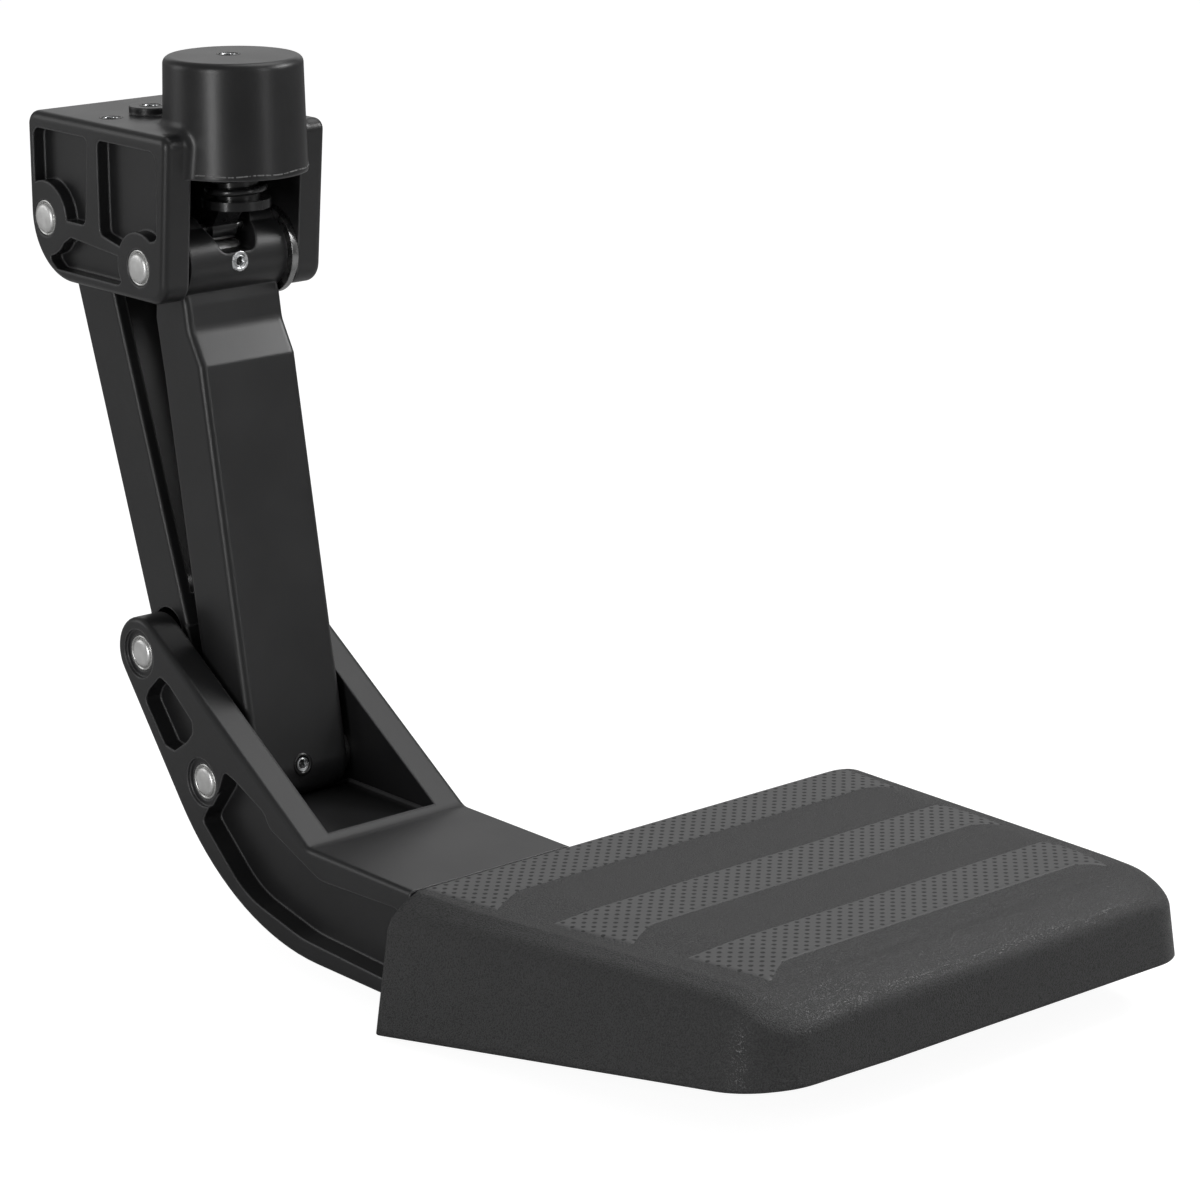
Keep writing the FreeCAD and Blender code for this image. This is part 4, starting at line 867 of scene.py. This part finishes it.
def spring_coil(bottom, top, mean, wire, turns):
    """Ring k of the tube is centred on the helix at angle a; its rise is slow in the two
    end turns and even between them. The first and last ring shrink to a point."""
    share = np.linspace(0, 1, int(turns * STEPS_PER_TURN) + 1)
    turn = share * turns
    open_turns = np.clip(turn - 1, 0, turns - 2)
    closed = wire * 1.08
    pitch = (top - bottom - wire - 2 * closed) / (turns - 2)
    rise = bottom + wire / 2 + open_turns * pitch + (turn - open_turns) * closed
    angle = 2 * math.pi * turn
    ring = np.linspace(0, 2 * math.pi, 14, endpoint=False)
    end = np.clip(np.minimum(share, 1 - share) * turns * STEPS_PER_TURN, 0, 1)[:, None]
    reach = mean + wire / 2 * np.cos(ring)[None, :] * end
    x = reach * np.cos(angle)[:, None]
    y = reach * np.sin(angle)[:, None] + HOUSING_Y
    z = rise[:, None] + wire / 2 * np.sin(ring)[None, :] * end
    return np.stack([x, y, z], axis=-1)


coil = spring_coil(bottom=34.4, top=92.0, mean=15.0, wire=4.0, turns=7.0)
spring = surface("coil_spring", to_scene(coil), "spring_seat", gloss,
                 closed_columns=True)
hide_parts("compression_spring")
print("spring faces:", len(spring.data.polygons))

# %% [markdown]
# ## Floor
#
# The photograph is a studio picture on white. A pale floor stands in for the paper.
# To the camera the floor adds a little light of its own, so it reads as white paper,
# yet it still takes the step's shadow. To every other ray it is plain grey paper.

# %% Floor
FLOOR = cad_box[0][2] - 0.0004
FLOOR_HALF = 14.0


def studio_floor():
    """Square of paper: camera rays see darker paper plus a glow, all others plain paper."""
    mesh = bpy.data.meshes.new("studio_floor")
    corners = [(FLOOR_HALF * x, FLOOR_HALF * y, FLOOR)
               for x, y in ((-1, -1), (1, -1), (1, 1), (-1, 1))]
    mesh.from_pydata(corners, [], [(0, 1, 2, 3)])
    item = add_object("studio_floor", mesh)
    paper = Finish("studio_paper", (0.55, 0.55, 0.55), 0.9)
    shadowed = paper.tree.nodes.new("ShaderNodeBsdfDiffuse")
    shadowed.inputs["Color"].default_value = (0.3, 0.3, 0.3, 1)
    glow = paper.tree.nodes.new("ShaderNodeEmission")
    glow.inputs["Strength"].default_value = 0.93
    both = paper.tree.nodes.new("ShaderNodeAddShader")
    choice = paper.tree.nodes.new("ShaderNodeMixShader")
    rays = paper.tree.nodes.new("ShaderNodeLightPath")
    output = paper.tree.nodes["Material Output"]
    link = paper.tree.links.new
    link(shadowed.outputs[0], both.inputs[0])
    link(glow.outputs[0], both.inputs[1])
    link(rays.outputs["Is Camera Ray"], choice.inputs[0])
    link(paper.shader.outputs[0], choice.inputs[1])
    link(both.outputs[0], choice.inputs[2])
    link(choice.outputs[0], output.inputs["Surface"])
    mesh.materials.append(paper.material)


studio_floor()
print("floor at", round(FLOOR, 4))

# %% [markdown]
# ## World and lamps
#
# A studio has big soft lamps round the table. They give the round housing its long
# soft highlights and the pad's front band its glow. The room itself adds a weak even
# light. To the camera alone it is white, so that the paper has no horizon.

# %% World and lamps
ROOM_LIGHT = 0.24


def studio_world():
    """Camera rays see white, all other rays the room's weak light."""
    world = bpy.data.worlds.new("studio_world")
    bpy.context.scene.world = world
    world.use_nodes = True
    tree = world.node_tree
    room = tree.nodes["Background"]
    room.inputs["Color"].default_value = (1, 1, 1, 1)
    room.inputs["Strength"].default_value = ROOM_LIGHT
    white = tree.nodes.new("ShaderNodeBackground")
    white.inputs["Strength"].default_value = 1.0
    rays = tree.nodes.new("ShaderNodeLightPath")
    choice = tree.nodes.new("ShaderNodeMixShader")
    tree.links.new(rays.outputs["Is Camera Ray"], choice.inputs[0])
    tree.links.new(room.outputs[0], choice.inputs[1])
    tree.links.new(white.outputs[0], choice.inputs[2])
    tree.links.new(choice.outputs[0], tree.nodes["World Output"].inputs["Surface"])


def lamp(name, place, aim, size, watts):
    """Rectangular lamp turned to its aim: tilt = acos of the fall over the distance, and
    turn = atan of the sideways way over the forward way."""
    data = bpy.data.lights.new(name, "AREA")
    data.shape = "RECTANGLE"
    data.size, data.size_y = size
    data.energy = watts
    item = add_object(name, data)
    gap = np.asarray(aim, float) - np.asarray(place, float)
    tilt = math.acos(-gap[2] / np.linalg.norm(gap))
    item.location = place
    item.rotation_euler = (tilt, 0.0, math.atan2(-gap[0], gap[1]))


studio_world()
lamp("overhead_softbox", (0.95, 0.05, 1.75), (0.05, -0.15, -0.3), (1.5, 1.3), 13)
lamp("back_panel", (1.75, 2.1, 0.75), (0.1, -0.1, -0.35), (2.4, 0.9), 4)
lamp("pad_softbox", (0.95, -0.62, 0.5), (0.12, -0.42, -0.4), (0.55, 0.4), 7)
lamp("front_strip", (0.55, -1.9, 0.45), (0.0, -0.1, -0.2), (0.25, 1.6), 5.5)
lamp("left_strip", (-1.85, -0.62, 0.15), (0.0, 0.0, -0.05), (0.2, 1.1), 12)
lamp("left_panel", (-1.45, 1.65, 0.35), (0.0, 0.0, -0.15), (0.9, 1.2), 5.5)
print("lamps:", len(bpy.data.lights))

# %% [markdown]
# ## Camera
#
# The photograph's camera was found by fitting known points, such as the four pins, to
# their places in the picture.

# %% Camera
CAMERA_LENS = 119.67
CAMERA_PLACE = (-1.23326, -1.70922, 0.30077)
CAMERA_DOWN, CAMERA_TURN = 15.953, -41.14

camera_data = bpy.data.cameras.new("photo_camera")
camera_data.sensor_width = 36.0
camera_data.lens = CAMERA_LENS
camera_data.clip_end = 100.0
camera = add_object("photo_camera", camera_data)
camera.location = CAMERA_PLACE
camera.rotation_euler = (math.radians(90 - CAMERA_DOWN), 0.0, math.radians(CAMERA_TURN))
bpy.context.scene.camera = camera
bpy.context.scene.view_settings.view_transform = "Standard"
print("camera looks down by", CAMERA_DOWN, "degrees")

# %% [markdown]
# ## Sizes
#
# The engineering model's box, lowest and highest corner in metres, is printed.

# %% Finish
print("engineering box:", [tuple(round(c, 4) for c in corner) for corner in cad_box])
